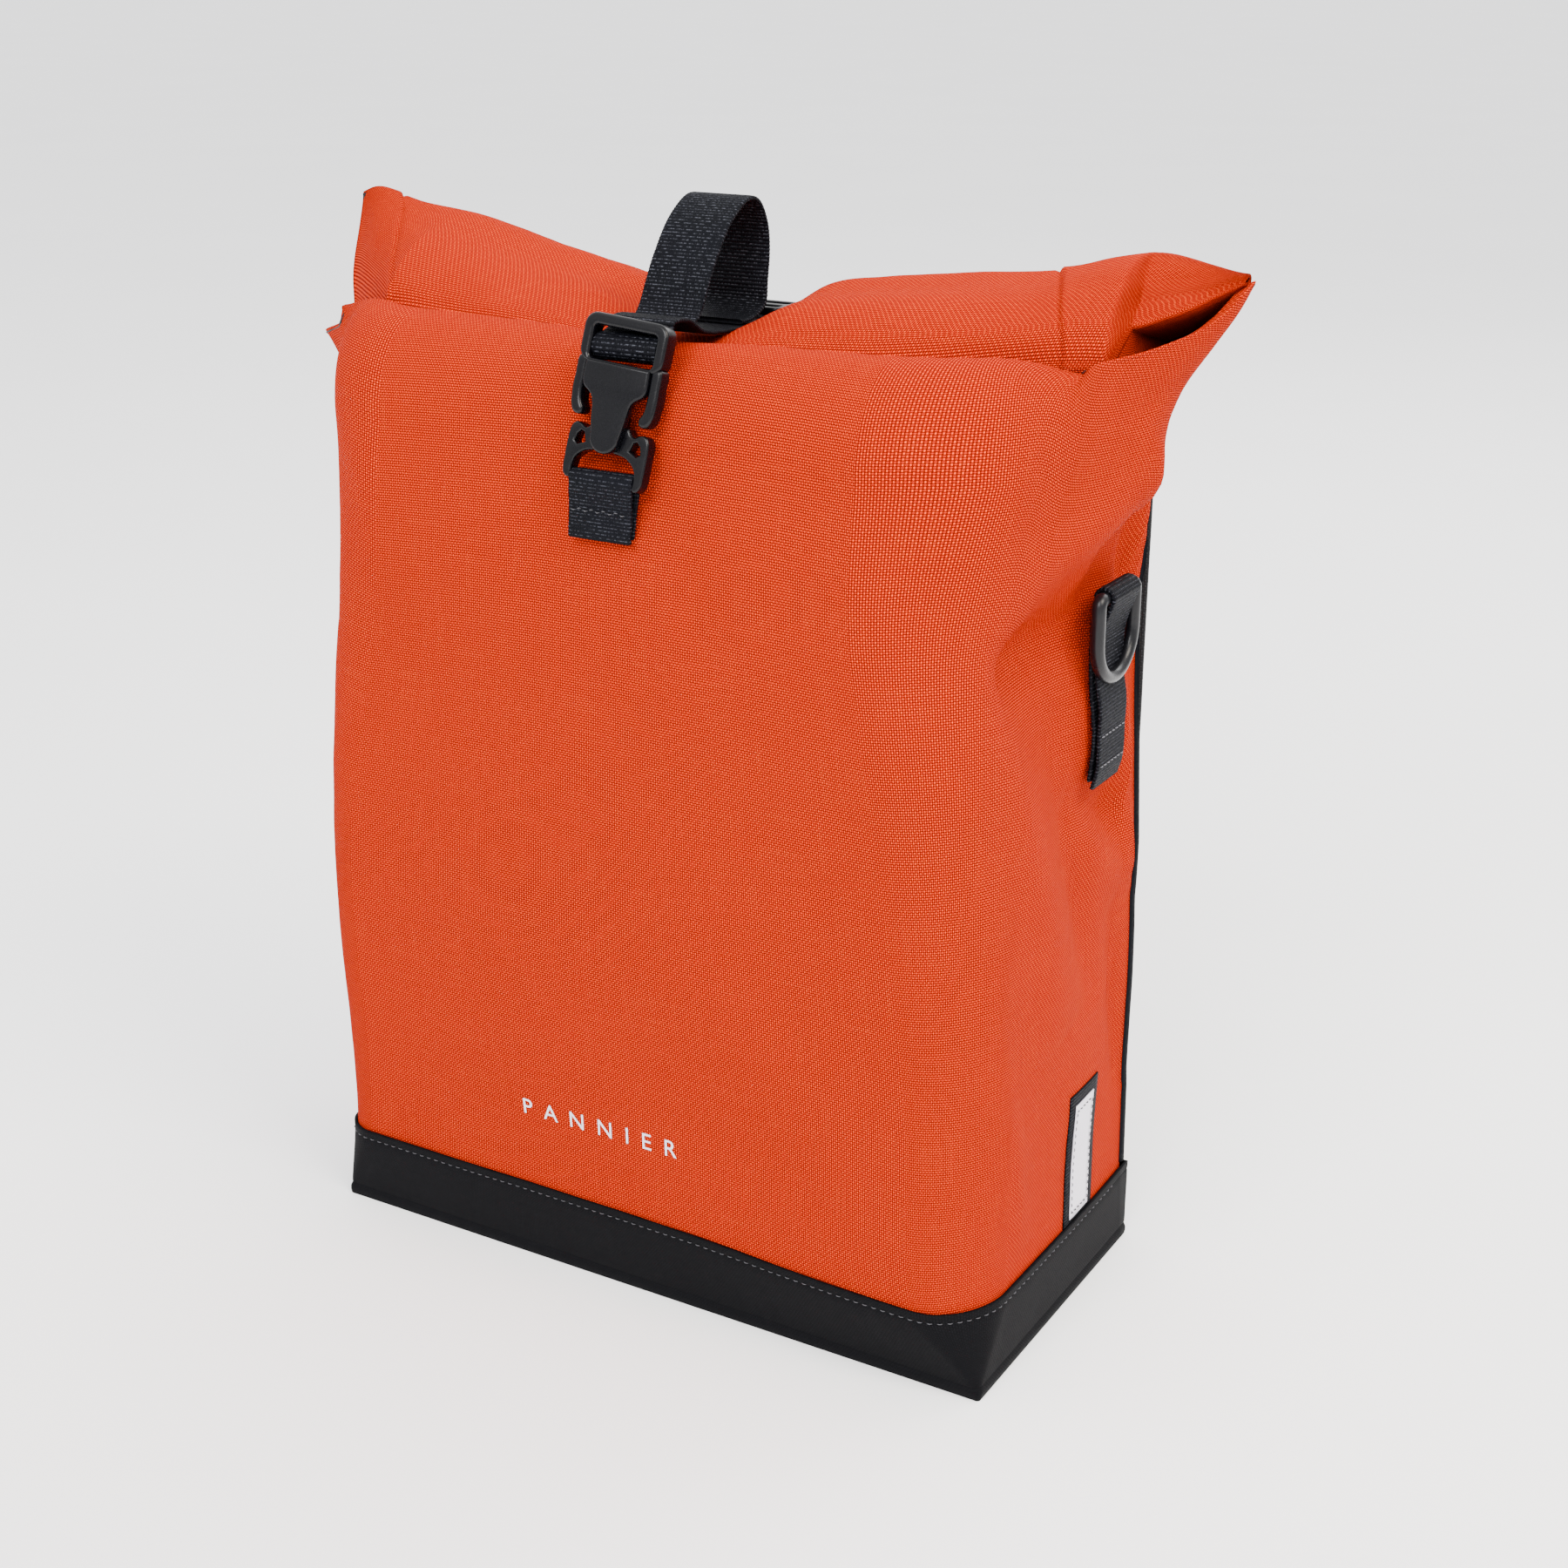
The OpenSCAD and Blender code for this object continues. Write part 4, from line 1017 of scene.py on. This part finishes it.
# ladder frame and pressing plate of the upper half
frame_part = plate_mesh("plug_frame", [rounded(35, 17.4, 4.8, 0, 49.7), rounded(26.6, 11.6, 1.6, 0, 48.4)],
                        6.6, 1.25, plastic, 3)
place_on_buckle(frame_part, 1.0)
strap_bar = tube("strap_bar", [on_buckle(48.6, 3.6, x) for x in np.linspace(-14.5, 14.5, 9)], BAR_R, plastic)
press_side = soft([(13.3, 42.0), (13.5, 37.5), (13.4, 34.8), (12.3, 32.6), (9.4, 30.6), (7.9, 28.2),
                   (6.9, 22), (5.9, 16.5)],
                  0.8)
press_tip = [(5.9 * math.cos(a), 16.5 + 5.5 * math.sin(a)) for a in np.radians(np.linspace(-12, -90, 9))]
press = plate_mesh("press", [mirrored(press_side + press_tip[:-1] + [(0.01, 11.0)])], 3.6, 1.0, plastic, 3)
place_on_buckle(press, 4.6)
plug = join("buckle_upper", [press, frame_part, strap_bar])
declare(plug, "strap", "buckle_plug")
for side, name in SIDES:
    leg = [(13.4, 42.6), (17.4, 42.6), (17.8, 36), (17.9, 31), (17.3, 26), (15.6, 23.0), (12.6, 22.8),
           (11.7, 25.0), (13.0, 27.4), (13.6, 31), (13.5, 35)]
    leg = [(side * x, y) for x, y in leg]
    arm = plate_mesh("buckle_leg_" + name, [soft(leg + [leg[0]], 0.7)[:-1]], 6.0, 1.3, plastic, 3)
    place_on_buckle(arm, 1.2)
    declare(arm, "arm_" + name, "buckle_arm_" + name)
socket_side = soft([(13.4, 0.9), (14.4, 0.3), (15.7, 0.9), (16.8, 3), (17, 6.5), (17, 13), (16.8, 16.8),
                    (16.0, 19.0), (14.4, 20.1), (12.4, 19.9), (10.4, 18.8), (8.7, 19.5), (7.4, 21.3),
                    (4.6, 22.4), (4.5, 37.5), (3.6, 40), (0.6, 40.6)], 0.8)
arch = soft([(13.2, 1.6), (13.2, 5.6), (12.2, 8.2), (9.2, 10.6), (5.4, 11.6), (0.6, 11.8)], 0.8)
socket_line = mirrored(socket_side) + [(-x, y) for x, y in arch] + [(x, y) for x, y in reversed(arch)]
eyes = [[(s * x, y) for x, y in ((9.4, 13.8), (12.6, 12.4), (14.0, 13.5), (13.3, 16.0), (11.9, 17.4),
                                 (10.5, 16.9))]
        for s in (-1, 1)]
socket = plate_mesh("socket_body", [socket_line] + eyes, 5.0, 0.8, plastic, 3)
place_on_buckle(socket, 0.0)
low_bar = tube("low_bar", [on_buckle(2, 2.3, x) for x in np.linspace(-14, 14, 9)], BAR_R, plastic)
socket = join("buckle_lower", [socket, low_bar])
declare(socket, "bag", "buckle_socket")

# ---------------------------------------------------------------- webbing
strap_line = [(0, 58.5, 347.2), (0, 46, 352.4), (0, 22, 354.6), (0.4, -10, 355.2), (2.4, -34, 357.6),
              (4.6, -48, 363.4)]
strap_line += [on_buckle(u, o) for u, o in ((59, -1.6), (55.4, -0.9), (53.2, 1.6), (51.6, 5), (48.6, 6.5),
                                            (45.8, 5.2), (44.4, 2.2), (44.8, -0.6))]
strap = ribbon("strap_web", strap_line, (1, 0, 0), WEB_W, WEB_T, web_black)
declare(strap, "strap", "closure_strap")

handle_line = [(0, y, z) for y, z in (
    (-46, 362.6), (-38, 361.2), (-33.6, 364.6), (-29, 372.6), (-23.6, 381), (-15, 391), (-4, 397.6),
    (3.9, 396.6),
    (9.0, 389.2), (10.4, 380), (9, 369), (7.6, 361.4), (0, 357.5), (-8, 357.1))]
handle = ribbon("handle_web", handle_line, (1, 0, 0), WEB_W, WEB_T, web_black)
declare(handle, "strap", "handle_loop")

slider = plate_mesh("slider_plate", [rounded(31, 16, 3), rounded(26.4, 4, 0.9, 0, 3.6),
                                     rounded(26.4, 4, 0.9, 0, -3.6)],
                    3.0, 0.6, plastic)
slider.data.transform(Matrix.Translation((0, 0.020, 0.3564)))
declare(slider, "strap", "strap_slider")

bar = np.array(on_buckle(2, 2.3))
loop_r = BAR_R + WEB_T / 2 + 0.25
low = -2.2  # sideways shift of the tab's sewn end
tab_line = [(low, -73.6, 294.4), (low + 1.0, -73.9, 300), (low + 2.1, -74.4, 305.6),
            (bar[0] - 0.4, -74.8, 310.0)]
tab_line += [(bar[0], bar[1] + loop_r * math.cos(a), bar[2] + loop_r * math.sin(a))
             for a in np.radians(range(-20, 201, 44))]
tab_line += [(bar[0] - 0.5, -78.8, 310.6), (low + 2.2, -77.7, 306.8), (low + 1.5, -76.8, 303.2),
             (low + 0.8, -76.2, 299.1), (low + 0.2, -75.8, 295.2), (low, -75.4, 293.2)]
front_web = ribbon("front_tab_web", tab_line, (1, 0, 0), WEB_W, WEB_T, web_black)
declare(front_web, "bag", "front_tab")

anchor_line = [(0, panel_hi[1] + 1.0, 318), (0, panel_hi[1] + 1.0, 337), (0, panel_hi[1] + 0.7, 339.6)]
anchor_patch = ribbon("anchor_patch", anchor_line, (1, 0, 0), 34.0, WEB_T, web_black)
declare(anchor_patch, "bag", "strap_anchor")

# ---------------------------------------------------------------- side tabs, rings, reflectors
RING_ROD = 2.2
BEND_R = 2.2
for side, name in SIDES:
    ring_lo, ring_hi = box_mm("dring_" + name)
    tab_lo, tab_hi = box_mm("dring_tab_" + name)
    rod = RING_ROD
    bar_x = side * (max(abs(ring_lo[0]), abs(ring_hi[0])) - rod)
    bar_z = ring_hi[2] - rod
    mid_y = (tab_lo[1] + tab_hi[1]) / 2
    r = rod + WEB_T / 2 + 0.3

    def out_x(z, lift):
        return float(wall_x(side, mid_y, z)) + side * lift

    line = [(out_x(z, 0.9), mid_y, z) for z in (206, 222, 242)]
    line.append((mix(out_x(258, 0.9), bar_x - side * r, 0.6), mid_y, 260))
    for a in np.radians(np.arange(195, -16, -30)):
        line.append((bar_x + side * r * math.cos(a), mid_y, bar_z + r * math.sin(a)))
    line.append((mix(out_x(258, 2.8), bar_x + side * r, 0.35), mid_y, 258))
    line += [(out_x(z, 2.7 + wave), mid_y, z) for z,
             wave in ((244, 0.6), (232, 0.9), (222, 0.1), (211, 0.4), (203.5, 0.1))]
    side_web = ribbon("side_tab_" + name, line, (0, 1, 0), TAB_W, WEB_T, web_black)
    declare(side_web, "bag", "dring_tab_" + name)

    arc = WEB_W / 2 + 0.4 + rod
    drop = bar_z - ring_lo[2] - arc - rod
    half = arc - BEND_R
    outline = [(y, 0) for y in np.linspace(-half, half, 12)]
    outline += [(half + BEND_R * math.sin(a), BEND_R - BEND_R * math.cos(a)) for a in np.radians((30, 60))]
    outline += [(arc, z) for z in np.linspace(BEND_R, drop, 6)]
    outline += [(arc * math.cos(a), drop + arc * math.sin(a)) for a in np.radians(np.arange(6, 175, 6))]
    outline += [(-arc, z) for z in np.linspace(drop, BEND_R, 6)]
    outline += [(-half - BEND_R * math.sin(a), BEND_R - BEND_R * math.cos(a)) for a in np.radians((60, 30))]
    d_line = [(bar_x, mid_y + y, bar_z - z) for y, z in outline]
    d_ring = tube("d_ring_" + name, d_line, rod + 0.35, ring_plastic, sides=18, closed=True)
    declare(d_ring, "ring_" + name, "dring_" + name)

    gy, gz = np.meshgrid(np.linspace(4.6, 29.4, 9), np.linspace(31.5, 87, 20))
    trim = np.stack([wall_x(side, gy, gz) + side * 0.55, gy, gz], axis=2)
    trim = trim if side > 0 else trim[:, ::-1]
    trim_piece = cloth_grid("reflector_edge_" + name, trim, web_black, 0.6)
    declare(trim_piece, "bag", "reflector_trim_" + name)
    gy, gz = np.meshgrid(np.linspace(9, 25, 7), np.linspace(34.5, 82, 18))
    shine = np.stack([wall_x(side, gy, gz) + side * 1.0, gy, gz], axis=2)
    shine = shine if side > 0 else shine[:, ::-1]
    shine_piece = cloth_grid("reflector_face_" + name, shine, tape, 0.4)
    declare(shine_piece, "bag", "reflector_" + name)

# ---------------------------------------------------------------- sewing
seam = []
seam_out = []
for k in range(4, band.shape[1] - 90, 2):
    seam.append(mix(band[15, k], band[16, k], 0.5))
    seam_out.append(band_n[15, k] * np.array([1, 1, 0.2]))
seam_out = np.array(seam_out)
if (seam_out * np.array(seam) * np.array([1, 1, 0])).sum() < 0:
    seam_out = -seam_out
band_stitch = stitches("band_stitch", seam, seam_out, dark_thread, 2.3, 1.3, 0.2, 0.05)
declare(band_stitch, "bag", None)
wave = [(x, -77.75, 303.4 + 0.4 * math.sin(x * 1.3)) for x in np.linspace(-12.4, 11.2, 24)]
tab_stitch = stitches("tab_stitch", wave, (0, -1, 0.1), dark_thread, 1.7, 0.9, 0.22, 0.0)
declare(tab_stitch, "bag", None)
for side, name in SIDES:
    rows = []
    for z, lift in ((222.5, 3.6), (211.5, 3.9)):
        line = [(float(wall_x(side, 24, z)) + side * lift, y, z) for y in np.linspace(13.8, 34.2, 12)]
        rows.append(stitches("row", line, (side, 0, 0), grey_thread, 2.0, 0.9, 0.24, 0.0))
    for z in (37.0, 79.5):
        line = [(float(wall_x(side, y, z)) + side * 1.05, y, z) for y in np.linspace(9.2, 24.8, 9)]
        rows.append(stitches("row", line, (side, 0, 0), dark_thread, 2.0, 0.7, 0.22, 0.0))
    for y in (9.9, 24.1):
        line = [(float(wall_x(side, y, z)) + side * 1.05, y, z) for z in np.linspace(36, 80.5, 20)]
        rows.append(stitches("row", line, (side, 0, 0), dark_thread, 2.0, 0.9, 0.16, 0.0))
    declare(join("side_stitch_" + name, rows), "bag", None)

word = bpy.data.curves.new("printed_word", "FONT")
word.body = "PANNIER"
word.size = 0.0096
word.space_character = 2.05
word.extrude = 0.00006
word_mesh = curve_mesh("word", word, tape)
letters = np.array([v.co for v in word_mesh.vertices]) / MM
letters[:, 0] += -49.5 - letters[:, 0].min()
flat_z = letters[:, 1] + 63.0
proud = letters[:, 2] + 0.14
face = front_y(letters[:, 0], flat_z)
for vertex, x, y, z in zip(word_mesh.vertices, letters[:, 0], face - proud, flat_z):
    vertex.co = (x * MM, y * MM, z * MM)
declare(in_scene("printed_word", word_mesh), "bag", None)

# ---------------------------------------------------------------- floor, light, camera
bpy.ops.mesh.primitive_plane_add(size=80, location=(0, 0, 0))
floor = bpy.context.object
floor.name = "floor"
paper = Tree("paper_floor")
paper.link(paper.blend(paper.spread(paper.noise(3.0), 0.3, 0.7, 0.0, 1.0), (0.86, 0.86, 0.87, 1),
                       (0.88, 0.88, 0.89, 1)),
           paper.shader.inputs["Base Color"])
paper.shader.inputs["Roughness"].default_value = 0.8
floor.data.materials.append(paper.material)

world = bpy.data.worlds.new("studio")
bpy.context.scene.world = world
world.use_nodes = True
sky = world.node_tree
sky_at = sky.nodes.new("ShaderNodeTexCoord")
sky_xyz = sky.nodes.new("ShaderNodeSeparateXYZ")
sky_level = sky.nodes.new("ShaderNodeMapRange")
sky.links.new(sky_at.outputs["Generated"], sky_xyz.inputs[0])
sky.links.new(sky_xyz.outputs[2], sky_level.inputs[0])
for k, level in enumerate((0.0, 0.85, 1.3, 2.6), 1):
    sky_level.inputs[k].default_value = level
sky.nodes["Background"].inputs["Color"].default_value = (1.0, 1.0, 1.0, 1)
sky.links.new(sky_level.outputs[0], sky.nodes["Background"].inputs["Strength"])


def soft_light(name, at, aim, size, power, tint=(1, 1, 1)):
    data = bpy.data.lights.new(name, "AREA")
    data.shape = "RECTANGLE"
    data.size, data.size_y = size
    data.energy = power
    data.color = tint
    lamp = in_scene(name, data)
    lamp.location = at
    lamp.rotation_euler = (Vector(aim) - Vector(at)).to_track_quat("-Z", "Y").to_euler()


soft_light("key", (1.20, -0.30, 1.45), (0, 0, 0.2), (0.9, 0.8), 45, (1.0, 0.91, 0.79))
soft_light("front", (0.20, -1.55, 1.42), (0, 0, 0.2), (1.1, 0.9), 56)
soft_light("back", (0.4, 1.5, 1.5), (0, 0, 0.2), (1.4, 1.0), 26)

EYE = Vector((432.9, -693.7, 484.7)) * MM
PITCH = math.radians(20.246)
TURN = math.radians(30.490)
camera_data = bpy.data.cameras.new("camera")
camera_data.sensor_width = 36
camera_data.lens = 53.41
camera = in_scene("camera", camera_data)
camera.location = EYE
camera.rotation_euler = (math.pi / 2 - PITCH, 0, TURN)
bpy.context.scene.camera = camera
